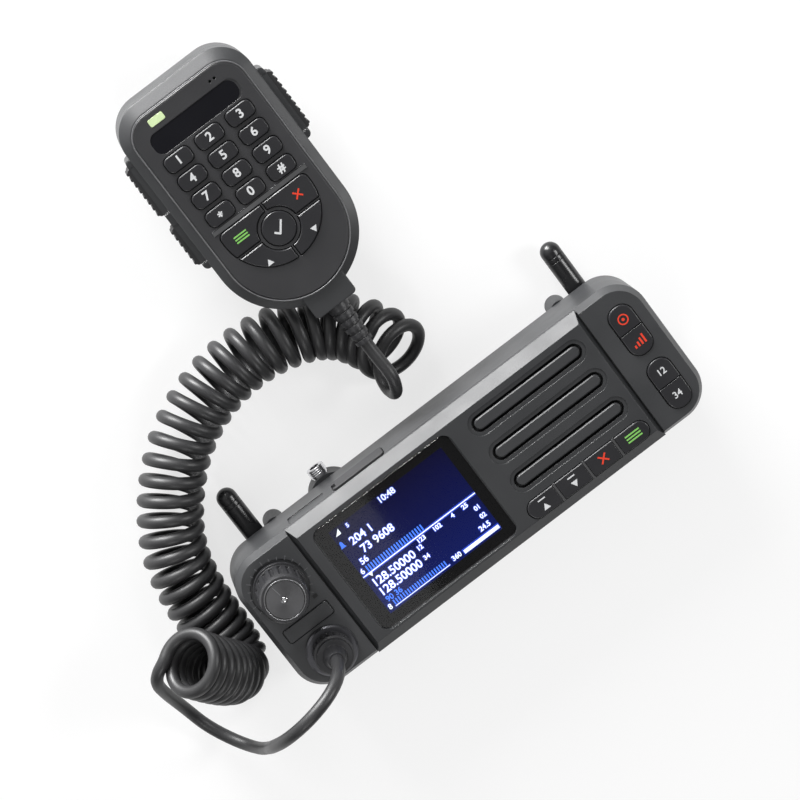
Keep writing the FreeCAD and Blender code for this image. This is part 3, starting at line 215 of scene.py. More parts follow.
# %% [markdown]
# The last turn has to hand over to the straight lead on its outer left side, so the
# number of turns is rounded to end there, and every pitch is stretched to match.

# %% The turns
def point_on_turn(travelled, turn):
    """The curve cuts inside its points, so they lie a little outside the turn's radius."""
    place, direction, side = at_distance(travelled)
    radius = read_table(RADIUS, travelled / MM) * MM
    drawn = radius / math.cos(math.pi / POINTS_PER_TURN)
    lean = math.radians(read_table(LEAN, travelled / MM))
    upright = direction.cross(side)
    leaning = upright * math.cos(lean) + direction * math.sin(lean)
    lowered = Vector((0, 0, radius * math.cos(lean) - TURN_RADIUS * MM))
    if travelled > KNEE:
        lowered = Vector((0, 0, 0))
    return place + lowered + drawn * (math.cos(turn) * side + math.sin(turn) * leaning)


KNEE = 170 * MM
LEAD_SIDE = -CAMERA_RIGHT
FIRST_TURN = 3 / POINTS_PER_TURN
end_side = guide_end[3]
end_up = guide_end[2].cross(end_side)
last_turn = math.atan2(LEAD_SIDE.dot(end_up), LEAD_SIDE.dot(end_side))

turns_so_far = 0.0
travelled = 0.0
STEP = 0.05 * MM
progress = [(travelled, 0.0)]
while travelled < guide_length:
    turns_so_far += STEP / (read_table(PITCH, travelled / MM) * MM)
    travelled += STEP
    progress.append((travelled, turns_so_far))
whole = round(turns_so_far - last_turn / math.tau) + last_turn / math.tau
stretch = whole / turns_so_far

turn_points = []
wanted = FIRST_TURN
for travelled, done in progress:
    if done * stretch >= wanted:
        turn_points.append(point_on_turn(min(travelled, guide_length), wanted * math.tau))
        wanted += 1 / POINTS_PER_TURN
print(f"{whole:.2f} turns in {len(turn_points)} points")

# %% The whole cord
MIC_HOOK = [(1.3, 62.2, 28.6), (1.3, 55.5, 28.6), (1.8, 47.4, 30.3), (0.1, 41.4, 27.5), (-1.7, 39.1, 21.5),
            (-2.6, 41.7, 15.7), (-1.2, 47.7, 13.4)]
RADIO_LEAD = [(-126.2, 13.5, 32.3), (-129.3, 9.8, 29.0), (-129.9, 2.6, 19.5), (-129.1, -8.5, 8.2),
              (-127.5, -19.9, 3.9), (-122.4, -30.2, 6.8), (-116.4, -35.6, 16.1), (-111.3, -31.9, 35.1),
              (-108.6, -26.1, 55.9), (-102.0, -22.7, 71.3), (-91.1, -20.5, 76.5), (-79.8, -18.4, 73.6),
              (-73.0, -16.3, 64.4), (-73.0, -16.3, 53.0)]

cord_points = [Vector(place) * MM for place in MIC_HOOK] + turn_points
cord_points += [Vector(place) * MM for place in RADIO_LEAD]
cord_curve = bpy.data.curves.new("curly_cord", "CURVE")
cord_curve.dimensions = "3D"
cord_curve.resolution_u = 4
cord_curve.render_resolution_u = 4
cord_curve.bevel_depth = 1.0
cord_curve.bevel_resolution = 5
cord_curve.use_fill_caps = True
cord_spline = cord_curve.splines.new("NURBS")
cord_spline.points.add(len(cord_points) - 1)
for point, place in zip(cord_spline.points, cord_points):
    point.co = (*place, 1)
    point.radius = CORD_DIAMETER / 2
cord_spline.order_u = 3
cord_spline.use_endpoint_u = True
cord_spline.resolution_u = 4
curly_cord = bpy.data.objects.new("curly_cord", cord_curve)
bpy.context.scene.collection.objects.link(curly_cord)


def length_of(curve_object):
    """The length of a curve's own line, measured on a copy with no thickness."""
    bare = curve_object.data.copy()
    bare.bevel_depth = 0
    holder = bpy.data.objects.new("bare", bare)
    mesh = bpy.data.meshes.new_from_object(holder)
    places = [vertex.co.copy() for vertex in mesh.vertices]
    bpy.data.objects.remove(holder)
    bpy.data.curves.remove(bare)
    bpy.data.meshes.remove(mesh)
    return sum((b - a).length for a, b in zip(places, places[1:]))


cord_length = length_of(curly_cord)
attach(curly_cord, "radio")
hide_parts("cord_coil", "cord_mic_lead", "cord_radio_lead")
print(f"cord {cord_length:.3f} m long, {len(cord_points)} points")

# %% [markdown]
# The table is a plain pale sheet and the light is a large soft window on the left, a
# weaker one on the right and a pale sky. The table keeps the object's soft shadow, and
# looks white to the camera because some of its light there is its own.

# %% Table
bpy.ops.mesh.primitive_plane_add(size=6, location=(0, 0, 0))
table = settle(bpy.context.object, "table")
table_paint = bpy.data.materials.new("table_paint")
table_paint.use_nodes = True
nodes, links = table_paint.node_tree.nodes, table_paint.node_tree.links
nodes["Principled BSDF"].inputs["Base Color"].default_value = (0.9, 0.9, 0.9, 1)
nodes["Principled BSDF"].inputs["Roughness"].default_value = 0.9
glow = nodes.new("ShaderNodeEmission")
glow.inputs["Color"].default_value = (1, 1, 1, 1)
glow.inputs["Strength"].default_value = 1.0
path = nodes.new("ShaderNodeLightPath")
seen = nodes.new("ShaderNodeMath")
seen.operation = "MAXIMUM"
share = nodes.new("ShaderNodeMath")
share.operation = "MULTIPLY"
share.inputs[1].default_value = 0.72
mixed = nodes.new("ShaderNodeMixShader")
links.new(path.outputs["Is Camera Ray"], seen.inputs[0])
links.new(path.outputs["Is Glossy Ray"], seen.inputs[1])
links.new(seen.outputs[0], share.inputs[0])
links.new(share.outputs[0], mixed.inputs[0])
links.new(nodes["Principled BSDF"].outputs[0], mixed.inputs[1])
links.new(glow.outputs[0], mixed.inputs[2])
links.new(mixed.outputs[0], nodes["Material Output"].inputs["Surface"])
table.data.materials.append(table_paint)

# %% Lights
def soft_window(name, toward, distance, size, watts):
    """A large square lamp that looks at the middle of the object."""
    lamp = bpy.data.lights.new(name, "AREA")
    lamp.shape = "SQUARE"
    lamp.size = size
    lamp.energy = watts
    holder = bpy.data.objects.new(name, lamp)
    bpy.context.scene.collection.objects.link(holder)
    toward = Vector(toward).normalized()
    holder.location = LOOK_AT + toward * distance
    holder.rotation_euler = toward.to_track_quat("Z", "Y").to_euler()
    return holder


LEFT = -CAMERA_RIGHT
soft_window("window_light", LEFT * 0.7 + CAMERA_UP * 1.0 + CAMERA_BACK * 0.8,
            distance=1.3, size=0.6, watts=17)
soft_window("rim_light", LEFT * 0.9 + CAMERA_UP * 1.0 + CAMERA_BACK * 0.3,
            distance=1.2, size=0.5, watts=44)
soft_window("side_light", -LEFT * 1.0 + CAMERA_UP * 0.2 + CAMERA_BACK * 0.7,
            distance=1.4, size=0.4, watts=8)
soft_window("low_light", -CAMERA_UP * 0.9 + CAMERA_BACK * 0.6 - LEFT * 0.1,
            distance=1.4, size=0.4, watts=4)
card = soft_window("card_light", CAMERA_BACK,
                   distance=0.5, size=0.3, watts=0.13)
card.location = (-0.195, -0.16, 0.54)
card.rotation_euler = (0, 0, 0)

# %% [markdown]
# A room is never evenly bright, and plastics and metals show that in their reflections.
# The sky is dark overhead and bright toward the radio's upper side.

# %% Sky
sky = bpy.data.worlds.new("sky")
bpy.context.scene.world = sky
sky.use_nodes = True
nodes, links = sky.node_tree.nodes, sky.node_tree.links
direction = nodes.new("ShaderNodeTexCoord")
toward_window = nodes.new("ShaderNodeVectorMath")
toward_window.operation = "DOT_PRODUCT"
toward_window.inputs[1].default_value = Vector((-0.35, 0.85, 0.35)).normalized()
sky_ramp = nodes.new("ShaderNodeValToRGB")
sky_ramp.color_ramp.elements[0].position = 0.25
sky_ramp.color_ramp.elements[0].color = (0.12, 0.12, 0.12, 1)
sky_ramp.color_ramp.elements[1].position = 0.95
sky_ramp.color_ramp.elements[1].color = (1, 1, 1, 1)
links.new(direction.outputs["Generated"], toward_window.inputs[0])
links.new(toward_window.outputs["Value"], sky_ramp.inputs["Fac"])
links.new(sky_ramp.outputs["Color"], nodes["Background"].inputs["Color"])
nodes["Background"].inputs["Strength"].default_value = 0.9
bpy.context.scene.view_settings.view_transform = "Standard"
print("table, four lamps and a sky")

# %% [markdown]
# Most of the object is moulded plastic. Real mouldings are never one flat colour: they
# carry a fine spark-eroded grain, a slight cloudiness in their shade, and patches that
# hands have polished. One recipe makes them all from noise at three scales.

# %% A recipe for moulded plastic
def new_finish(name, colour, rough):
    """A material with its Principled shader set to one colour and roughness."""
    finish = bpy.data.materials.new(name)
    finish.use_nodes = True
    shader = finish.node_tree.nodes["Principled BSDF"]
    shader.inputs["Base Color"].default_value = (*colour, 1)
    shader.inputs["Roughness"].default_value = rough
    return finish, shader, finish.node_tree.nodes, finish.node_tree.links


def noise_at(nodes, links, scale, detail=2.0):
    """Noise on the piece's own coordinates, with scale in bumps to the metre."""
    place = nodes.new("ShaderNodeTexCoord")
    noise = nodes.new("ShaderNodeTexNoise")
    noise.inputs["Scale"].default_value = scale
    noise.inputs["Detail"].default_value = detail
    links.new(place.outputs["Object"], noise.inputs["Vector"])
    return noise


def cloud_colour(shader, nodes, links, colour, scale, depth):
    """Lets the colour wander a little lighter and darker over the surface."""
    noise = noise_at(nodes, links, scale, 4.0)
    ramp = nodes.new("ShaderNodeValToRGB")
    ramp.color_ramp.elements[0].position = 0.3
    ramp.color_ramp.elements[0].color = (*[part * (1 - depth) for part in colour], 1)
    ramp.color_ramp.elements[1].position = 0.7
    ramp.color_ramp.elements[1].color = (*[part * (1 + depth) for part in colour], 1)
    links.new(noise.outputs["Fac"], ramp.inputs["Fac"])
    links.new(ramp.outputs["Color"], shader.inputs["Base Color"])


def cloud_rough(shader, nodes, links, rough, scale, depth):
    """Lets the roughness wander, as where a surface has been handled."""
    noise = noise_at(nodes, links, scale, 3.0)
    spread = nodes.new("ShaderNodeMapRange")
    spread.inputs["From Min"].default_value = 0.3
    spread.inputs["From Max"].default_value = 0.7
    spread.inputs["To Min"].default_value = rough - depth
    spread.inputs["To Max"].default_value = rough + depth
    links.new(noise.outputs["Fac"], spread.inputs["Value"])
    links.new(spread.outputs["Result"], shader.inputs["Roughness"])


def grain_bump(shader, nodes, links, scale, strength, depth=0.05, edge=0.0):
    """Raises a fine grain, depth in millimetres, and rounds the edges to a small radius."""
    noise = noise_at(nodes, links, scale, 2.0)
    bump = nodes.new("ShaderNodeBump")
    bump.inputs["Strength"].default_value = strength
    bump.inputs["Distance"].default_value = depth * MM
    links.new(noise.outputs["Fac"], bump.inputs["Height"])
    if edge:
        rounded = nodes.new("ShaderNodeBevel")
        rounded.samples = 4
        rounded.inputs["Radius"].default_value = edge * MM
        links.new(rounded.outputs["Normal"], bump.inputs["Normal"])
    links.new(bump.outputs["Normal"], shader.inputs["Normal"])


def moulded(name, colour, rough, grain=0.5, cloud=0.08, size=2200, edge=0.3):
    finish, shader, nodes, links = new_finish(name, colour, rough)
    cloud_colour(shader, nodes, links, colour, 45, cloud)
    cloud_rough(shader, nodes, links, rough, 70, 0.05)
    grain_bump(shader, nodes, links, size, grain, edge=edge)
    return finish


finishes = {
    "radio_case": moulded("radio_case_plastic", (0.036, 0.037, 0.039), 0.40, 0.4),
    "panel": moulded("panel_plastic", (0.031, 0.032, 0.034), 0.40, 0.3),
    "radio_key": moulded("radio_key_plastic", (0.016, 0.016, 0.018), 0.36, 0.2),
    "mic_key": moulded("mic_key_plastic", (0.018, 0.018, 0.020), 0.34, 0.2),
    "divider": moulded("divider_plastic", (0.06, 0.06, 0.062), 0.35, 0.2),
    "grille": moulded("grille_plastic", (0.030, 0.031, 0.033), 0.45, 0.4),
    "speaker": moulded("speaker_paper", (0.012, 0.012, 0.013), 0.8, 0.6),
    "knob": moulded("knob_plastic", (0.022, 0.022, 0.024), 0.38, 0.25),
    "inlet": moulded("inlet_plastic", (0.02, 0.02, 0.022), 0.3, 0.2),
    "mic_case": moulded("mic_case_plastic", (0.037, 0.038, 0.040), 0.40, 0.4, edge=0.8),
    "mic_plate": moulded("mic_plate_plastic", (0.028, 0.028, 0.030), 0.42, 0.35),
    "antenna_black": moulded("antenna_gloss", (0.010, 0.010, 0.011), 0.30, 0.02),
    "port_cover": moulded("port_rubber", (0.030, 0.030, 0.032), 0.6, 0.5),
    "soft_pad": moulded("pad_rubber", (0.016, 0.016, 0.017), 0.55, 0.6),
    "relief": moulded("relief_rubber", (0.020, 0.020, 0.022), 0.45, 0.4),
    "plug": moulded("plug_rubber", (0.022, 0.022, 0.024), 0.42, 0.3),
    "board": moulded("board_lacquer", (0.02, 0.09, 0.045), 0.35, 0.2),
    "chassis": moulded("chassis_paint", (0.026, 0.027, 0.029), 0.5, 0.9, size=1200),
    "cord": moulded("cord_rubber", (0.021, 0.021, 0.022), 0.44, 0.25, size=1500, edge=0),
}
print(len(finishes), "moulded finishes")

# %% [markdown]
# Metals reflect the room, so what makes them real is the fine marks of their making:
# concentric lines on the spun cap, a faint orange peel under plating.

# %% Metals
def metal(name, colour, rough, grain, size=900, cloud=0.06):
    finish, shader, nodes, links = new_finish(name, colour, rough)
    shader.inputs["Metallic"].default_value = 1.0
    cloud_colour(shader, nodes, links, colour, 60, cloud)
    cloud_rough(shader, nodes, links, rough, 120, min(0.05, rough / 2))
    grain_bump(shader, nodes, links, size, grain, 0.03)
    return finish


finishes["socket_metal"] = metal("socket_metal", (0.12, 0.12, 0.13), 0.36, 0.3)
finishes["screw_steel"] = metal("screw_steel", (0.20, 0.20, 0.21), 0.35, 0.3)
finishes["jack_chrome"] = metal("jack_chrome", (0.75, 0.75, 0.77), 0.14, 0.2)
finishes["bar_chrome"] = metal("bar_chrome", (0.80, 0.81, 0.83), 0.10, 0.05)
finishes["hanger"] = metal("hanger_metal", (0.30, 0.30, 0.31), 0.3, 0.3)
finishes["cap_metal"] = metal("cap_metal", (0.20, 0.20, 0.21), 0.36, 0.1)
print(len(finishes), "finishes so far")

# %% The remaining finishes
def window_finish():
    """A window is almost all clear, and mirrors a little of the room, less where it has been wiped."""
    finish, shader, nodes, links = new_finish("window_clear", (1, 1, 1), 0.06)
    shader.inputs["Metallic"].default_value = 1.0
    shader.inputs["Alpha"].default_value = 0.03
    cloud_rough(shader, nodes, links, 0.06, 60, 0.015)
    return finish


finishes["window"] = window_finish()
finishes["display"] = moulded("display_film", (0.002, 0.004, 0.06), 0.2, 0.0)
finishes["light"] = moulded("light_lens", (0.55, 0.68, 0.38), 0.25, 0.1)
for node, slot in slot_of.items():
    piece = frame["nodes"][node]
    piece.data.materials.clear()
    piece.data.materials.append(finishes[slot])
curly_cord.data.materials.append(finishes["cord"])
print("every node has a finish")

# %% [markdown]
# The display is the brightest thing on the object. The real one is a lit film under a
# clear window, with thin glowing figures. Here the figures are real meshes of a few
# hundredths of a millimetre, laid on the film, so they stay sharp from any side. All
# of them are plain digits, bars and marks.

# %% Glowing finishes
def lit(name, colour, strength):
    """A printed figure that gives off light of its own, a little uneven like a real backlight."""
    finish, shader, nodes, links = new_finish(name, colour, 0.4)
    cloud_colour(shader, nodes, links, [part * 0.5 for part in colour], 400, 0.1)
    shader.inputs["Emission Color"].default_value = (*colour, 1)
    shader.inputs["Emission Strength"].default_value = strength
    return finish


white_light = lit("white_figure", (0.86, 0.93, 1.0), 1.0)
blue_light = lit("blue_figure", (0.05, 0.19, 0.95), 0.9)
halo_light = lit("halo_figure", (0.01, 0.05, 0.55), 0.8)
# The key legends are real print, but the glow given to their inks here is painted light: pad-printed ink
# gives off no light of its own.
red_ink_painted_glow = lit("red_legend_painted_glow", (0.75, 0.05, 0.02), 0.45)
green_ink_painted_glow = lit("green_legend_painted_glow", (0.22, 0.55, 0.12), 0.45)
white_ink_painted_glow = lit("white_legend_painted_glow", (0.72, 0.73, 0.74), 0.35)
print("figures and legends can be lit")

# %% The film behind the window
def without_shine(finish):
    """The window already mirrors the room, so what lies behind it hardly does."""
    finish.node_tree.nodes["Principled BSDF"].inputs["Specular IOR Level"].default_value = 0.05
    return finish


def film_finish():
    """Deep blue, with more light toward the lower left, where the lamps of the film are."""
    finish, shader, nodes, links = new_finish("display_film", (0.0, 0.0, 0.01), 0.25)
    place = nodes.new("ShaderNodeTexCoord")
    parts = nodes.new("ShaderNodeSeparateXYZ")
    slope = nodes.new("ShaderNodeMapRange")
    slope.inputs["From Min"].default_value = 0.018
    slope.inputs["From Max"].default_value = -0.019
    ramp = nodes.new("ShaderNodeValToRGB")
    ramp.color_ramp.elements[0].color = (0.0003, 0.0002, 0.022, 1)
    ramp.color_ramp.elements[1].color = (0.002, 0.008, 0.100, 1)
    links.new(place.outputs["Object"], parts.inputs[0])
    links.new(parts.outputs["Y"], slope.inputs["Value"])
    links.new(slope.outputs["Result"], ramp.inputs["Fac"])
    links.new(ramp.outputs["Color"], shader.inputs["Emission Color"])
    shader.inputs["Emission Strength"].default_value = 1.0
    return without_shine(finish)


finishes["display"] = film_finish()
frame["nodes"]["lcd_module"].data.materials[0] = finishes["display"]

# %% Helpers for flat marks
def face_up(name, corners, level, thick, finish, body):
    """A thin plate with the given outline, in millimetres, made by filling and extruding it."""
    mesh = bpy.data.meshes.new(name)
    piece = bpy.data.objects.new(name, mesh)
    bpy.context.scene.collection.objects.link(piece)
    mesh.from_pydata([(x * MM, y * MM, level * MM) for x, y in corners], [], [range(len(corners))])
    take(piece)
    bpy.ops.object.mode_set(mode="EDIT")
    bpy.ops.mesh.select_all(action="SELECT")
    bpy.ops.mesh.extrude_region_move(TRANSFORM_OT_translate={"value": (0, 0, thick * MM)})
    bpy.ops.mesh.select_all(action="SELECT")
    bpy.ops.mesh.normals_make_consistent(inside=False)
    let_go()
    mesh.materials.append(finish)
    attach(piece, body)
    return piece


def bar(name, left, low, right, high, level, finish, body, thick=0.04):
    return face_up(name, [(left, low), (right, low), (right, high), (left, high)], level, thick, finish, body)


def write(name, words, x, y, level, tall, finish, body, thick=0.04, bold=0.0):
    """Plain figures, centred at x and y, made a mesh and laid at their level."""
    let_go()
    bpy.ops.object.text_add(location=(x * MM, y * MM, level * MM))
    text = bpy.context.object
    text.data.body = words
    text.data.align_x = "CENTER"
    text.data.align_y = "CENTER"
    text.data.size = tall * 1.4 * MM
    text.data.offset = bold * MM
    text.data.extrude = thick * MM
    text.data.resolution_u = 4
    bpy.ops.object.convert(target="MESH")
    piece = settle(bpy.context.object, name)
    piece.data.materials.clear()
    piece.data.materials.append(finish)
    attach(piece, body)
    return piece


def unite(name, pieces):
    """Joins small pieces of one finish into one piece."""
    take(*pieces)
    bpy.ops.object.join()
    joined = bpy.context.object
    joined.name = name
    joined.data.name = name
    return joined


print("helpers for flat marks are ready")

# %% The black border under the window
WINDOW_X, WINDOW_Y = -25.0, -0.4
bpy.ops.mesh.primitive_plane_add(size=1, location=(WINDOW_X * MM, WINDOW_Y * MM, 38.72 * MM))
border = bpy.context.object
border.scale = (58.4 * MM, 44.0 * MM, 1)
border = settle(border, "screen_mask")
bpy.ops.object.mode_set(mode="EDIT")
bpy.ops.mesh.select_all(action="SELECT")
bpy.ops.mesh.inset(thickness=1.0 * MM, depth=0)
bpy.ops.transform.resize(value=(48.9 / 56.4, 36.6 / 42.0, 1))
bpy.ops.transform.translate(value=(0.5 * MM, 0.25 * MM, 0))
bpy.ops.mesh.delete(type="FACE")
bpy.ops.mesh.select_all(action="SELECT")
bpy.ops.mesh.extrude_region_move(TRANSFORM_OT_translate={"value": (0, 0, 0.05 * MM)})
bpy.ops.mesh.select_all(action="SELECT")
bpy.ops.mesh.normals_make_consistent(inside=False)
let_go()
border_ink = moulded("border_ink", (0.002, 0.002, 0.0024), 0.5, 0.0, edge=0)
border.data.materials.append(without_shine(border_ink))
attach(border, "radio")
print("border", len(border.data.polygons), "faces")

# %% The figures on the film
FILM = 36.34
LOWER = FILM - 0.03


def glowing(name, words, x, y, tall, finish=white_light, halo=True):
    """Figures with a soft blue halo, a wider copy of themselves just beneath."""
    made = [write(name, words, x, y, FILM, tall, finish, "radio", 0.02, 0.07)]
    if halo:
        made.append(write(name + "_halo", words, x, y, LOWER, tall, halo_light, "radio", 0.01, 0.30))
    return made


FIGURES = [("clock", "10:48", -25.2, 15.7, 2.3), ("name", "204 1", -40.2, 10.0, 3.0),
           ("group", "73 9608", -36.6, 5.4, 3.0), ("state", "56", -45.0, 2.0, 2.3),
           ("high_row", "128.50000", -38.7, -7.0, 3.1), ("low_row", "128.50000", -38.7, -11.1, 3.1),
           ("high_mark", "12", -27.0, -6.6, 1.7), ("low_mark", "34", -27.0, -10.7, 1.7),
           ("tone", "123", -24.8, -4.5, 1.7), ("unit", "102", -17.9, -4.5, 1.7),
           ("power", "4", -11.1, -4.5, 1.7), ("width", "25", -5.8, -4.5, 1.7),
           ("first", "01", -2.6, -7.6, 1.7), ("second", "02", -2.6, -11.1, 1.7),
           ("heat", "24.5", -4.4, -14.6, 1.9), ("level", "360", -18.6, -17.2, 1.8),
           ("lower", "8", -47.7, -17.2, 2.0), ("upper", "6", -47.9, -1.0, 2.0),
           ("net", "5", -42.2, 15.6, 1.5)]
white_pieces = []
halo_pieces = []
for name, words, x, y, tall in FIGURES:
    bright, halo = glowing("figure_" + name, words, x, y, tall)
    white_pieces.append(bright)
    halo_pieces.append(halo)
line = bar("middle_line", -49.0, -3.05, -0.1, -2.65, FILM, white_light, "radio")
thick = bar("level_bar", -15.6, -18.3, -0.4, -16.9, FILM, white_light, "radio")
foot = bar("foot_line", -46.0, -18.25, -22.2, -17.95, FILM, white_light, "radio")
needle = face_up("needle", [(-46.8, -3.0), (-45.2, -3.0), (-46.0, -4.4)], FILM, 0.04, white_light, "radio")
stair = face_up("signal_steps", [(-47.8, 14.6), (-45.6, 14.6), (-45.6, 16.8)], FILM, 0.04, white_light,
                "radio")
white_pieces += [line, thick, foot, needle, stair]
for number, (left, low, right, high) in enumerate([(-49.0, -3.5, -0.1, -2.2), (-16.0, -18.5, -0.1, -16.4),
                                                   (-46.2, -18.5, -22.0, -17.6)]):
    halo_pieces.append(bar(f"line_halo_{number}", left, low, right, high, LOWER, halo_light, "radio", 0.01))

BELL = [(-49.0, 9.9), (-46.8, 9.9), (-47.2, 10.6), (-47.4, 12.0), (-47.9, 12.5), (-48.4, 12.0), (-48.6, 10.6)]
blue_pieces = [face_up("bell_mark", BELL, FILM, 0.04, blue_light, "radio")]
blue_pieces += glowing("figure_dim", "90 36", -44.0, -14.4, 2.1, blue_light, False)
for number in range(22):
    left = -46.2 + number * 1.13
    blue_pieces.append(bar(f"upper_tick_{number}", left, -2.4, left + 0.55, 0.1, FILM, blue_light, "radio"))
    left = -45.8 + number * 1.06
    blue_pieces.append(bar(f"lower_tick_{number}", left, -17.6, left + 0.5, -15.7, FILM, blue_light, "radio"))
screen_white = unite("screen_white", white_pieces)
screen_blue = unite("screen_blue", blue_pieces)
screen_halo = unite("screen_halo", halo_pieces)
for piece in (screen_white, screen_blue, screen_halo):
    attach(piece, "radio")
print("screen figures:", len(screen_white.data.polygons), "white faces")

# %% [markdown]
# Legends on keys are pad-printed and sit a hair above the plastic. Digits come from
# text turned into meshes. Arrows, bars, crosses and ticks are outlines that are filled
# and extruded by a few hundredths of a millimetre. Each rides on its own key.

# %% Digits on the microphone
DIGITS = {"one": "1", "two": "2", "three": "3", "four": "4", "five": "5", "six": "6", "seven": "7",
          "eight": "8", "nine": "9", "star": "*", "zero": "0", "hash": "#"}
DIGIT_TALL = 3.2
INK_THICK = 0.03
for node, words in DIGITS.items():
    low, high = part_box("mic_key_" + node)
    x, y = (low[0] + high[0]) / 2 / MM, (low[1] + high[1]) / 2 / MM
    drop = 0.9 if words == "*" else 0.0
    legend = write("digit_" + node, words, x, y - drop, high[2] / MM + 0.02, DIGIT_TALL, white_ink_painted_glow,
                   "mic_key_" + node, INK_THICK, 0.11)
print(len(DIGITS), "digits")

# %% Signs on the keys
def strip(start, end, half):
    """The four corners of a straight strip between two points."""
    along = (Vector(end) - Vector(start)).normalized()
    across = Vector((-along.y, along.x)) * half
    return [tuple(Vector(start) + across), tuple(Vector(start) - across), tuple(Vector(end) - across),
            tuple(Vector(end) + across)]


def sign(name, outlines, level, finish, node, thick=0.05):
    """Several filled outlines joined into one printed sign on a key."""
    parts = [face_up(f"{name}_{number}", corners, level + 0.01 * number, thick, finish, node)
             for number, corners in enumerate(outlines)]
    made = unite(name, parts)
    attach(made, node)
    return made


def arrow(x, y, size, way):
    return [[(x - size, y - way * size * 0.7), (x + size, y - way * size * 0.7), (x, y + way * size)]]


def three_bars(x, y, wide, pitch, half):
    return [strip((x - wide, y + step * pitch), (x + wide, y + step * pitch), half) for step in (-1, 0, 1)]


def cross(x, y, size, half):
    return [strip((x - size, y - size), (x + size, y + size), half),
            strip((x - size, y + size), (x + size, y - size), half)]


def ring_band(x, y, radius, half, start=0, sweep=360, pieces=28):
    """Short strips that follow an arc."""
    steps = [math.radians(start + sweep * number / pieces) for number in range(pieces + 1)]
    outer = [(x + (radius + half) * math.cos(a), y + (radius + half) * math.sin(a)) for a in steps]
    inner = [(x + (radius - half) * math.cos(a), y + (radius - half) * math.sin(a)) for a in steps]
    return [[inner[i], outer[i], outer[i + 1], inner[i + 1]] for i in range(pieces)]


def flat_ring(name, x, y, radius, half, level, finish, body, start=0, sweep=360):
    parts = [face_up(f"{name}_{number}", corners, level, 0.05, finish, body)
             for number, corners in enumerate(ring_band(x, y, radius, half, start, sweep))]
    made = unite(name, parts)
    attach(made, body)
    return made


MIC_TOP = 35.62
sign("mic_up_sign", arrow(-8.2, 105.6, 1.25, 1), MIC_TOP, white_ink_painted_glow, "mic_key_up")
sign("mic_down_sign", arrow(10.9, 105.6, 1.25, -1), MIC_TOP, white_ink_painted_glow, "mic_key_down")
sign("mic_menu_sign", three_bars(-10.6, 118.6, 2.6, 1.05, 0.26), MIC_TOP, green_ink_painted_glow, "mic_key_menu")
sign("mic_exit_sign", cross(13.4, 118.6, 1.35, 0.28), MIC_TOP, red_ink_painted_glow, "mic_key_exit")
sign("mic_ok_sign", [strip((-0.9, 112.8), (0.7, 111.2), 0.35), strip((0.5, 111.2), (3.6, 115.2), 0.35)],
     MIC_TOP, white_ink_painted_glow, "mic_key_ok")

ROW_TOP = 40.52
sign("up_sign", arrow(16.9, -21.2, 1.35, 1), ROW_TOP, white_ink_painted_glow, "key_up")
sign("up_dash", [strip((15.4, -18.1), (18.4, -18.1), 0.22)], ROW_TOP, white_ink_painted_glow, "key_up")
sign("down_sign", arrow(29.8, -20.9, 1.35, -1), ROW_TOP, white_ink_painted_glow, "key_down")
sign("down_dash", [strip((28.3, -18.1), (31.3, -18.1), 0.22)], ROW_TOP, white_ink_painted_glow, "key_down")
sign("exit_sign", cross(42.8, -19.9, 1.5, 0.3), ROW_TOP, red_ink_painted_glow, "key_exit")
sign("menu_sign", three_bars(56.0, -19.9, 3.0, 1.15, 0.28), ROW_TOP, green_ink_painted_glow, "key_menu")

PILL_TOP = 38.92
flat_ring("call_ring", 77.1, 15.2, 1.75, 0.24, PILL_TOP, red_ink_painted_glow, "key_call")
sign("call_dot", [[(77.1 + 0.6 * math.cos(a / 8 * math.tau), 15.2 + 0.6 * math.sin(a / 8 * math.tau))
                   for a in range(8)]], PILL_TOP, red_ink_painted_glow, "key_call")
sign("network_sign", [strip((75.1 + step * 1.35, 3.9), (75.1 + step * 1.35, 5.0 + step * 0.8), 0.34)
                      for step in range(4)], PILL_TOP, red_ink_painted_glow, "key_network")
write("band_sign", "12", 77.1, -8.1, PILL_TOP + 0.02, 2.5, white_ink_painted_glow, "key_band", INK_THICK, 0.04)
write("channel_sign", "34", 77.1, -18.0, PILL_TOP + 0.02, 2.5, white_ink_painted_glow, "key_channel", INK_THICK, 0.04)
print("signs on the keys are done")

# %% [markdown]
# The tuning knob wears a spun metal cap. Spinning leaves rings too fine to count, and a
# polished dimple in the middle. A groove separates the disc from its bright rim, its shade
# painted as a near-black ring, and a thin line is let into the disc as the pointer.

# %% Knob trim
KNOB_X, KNOB_Y = -74.0, 12.6
CAP_TOP = 54.6


def spun_finish(name, colour, rough):
    """Metal with fine rings around the knob's own axis."""
    finish, shader, nodes, links = new_finish(name, colour, rough)
    shader.inputs["Metallic"].default_value = 1.0
    shader.inputs["Anisotropic"].default_value = 0.6
    place = nodes.new("ShaderNodeTexCoord")
    centred = nodes.new("ShaderNodeMapping")
    centred.inputs["Location"].default_value = (-KNOB_X * MM, -KNOB_Y * MM, 0)
    rings = nodes.new("ShaderNodeTexWave")
    rings.wave_type = "RINGS"
    rings.rings_direction = "Z"
    rings.inputs["Scale"].default_value = 700
    rings.inputs["Distortion"].default_value = 0.4
    bump = nodes.new("ShaderNodeBump")
    bump.inputs["Strength"].default_value = 0.5
    bump.inputs["Distance"].default_value = 0.03 * MM
    links.new(place.outputs["Object"], centred.inputs["Vector"])
    links.new(centred.outputs["Vector"], rings.inputs["Vector"])
    links.new(rings.outputs["Fac"], bump.inputs["Height"])
    links.new(bump.outputs["Normal"], shader.inputs["Normal"])
    cloud_colour(shader, nodes, links, colour, 90, 0.12)
    return finish


frame["nodes"]["knob_cap"].data.materials[0] = spun_finish("spun_cap", (0.15, 0.15, 0.155), 0.34)


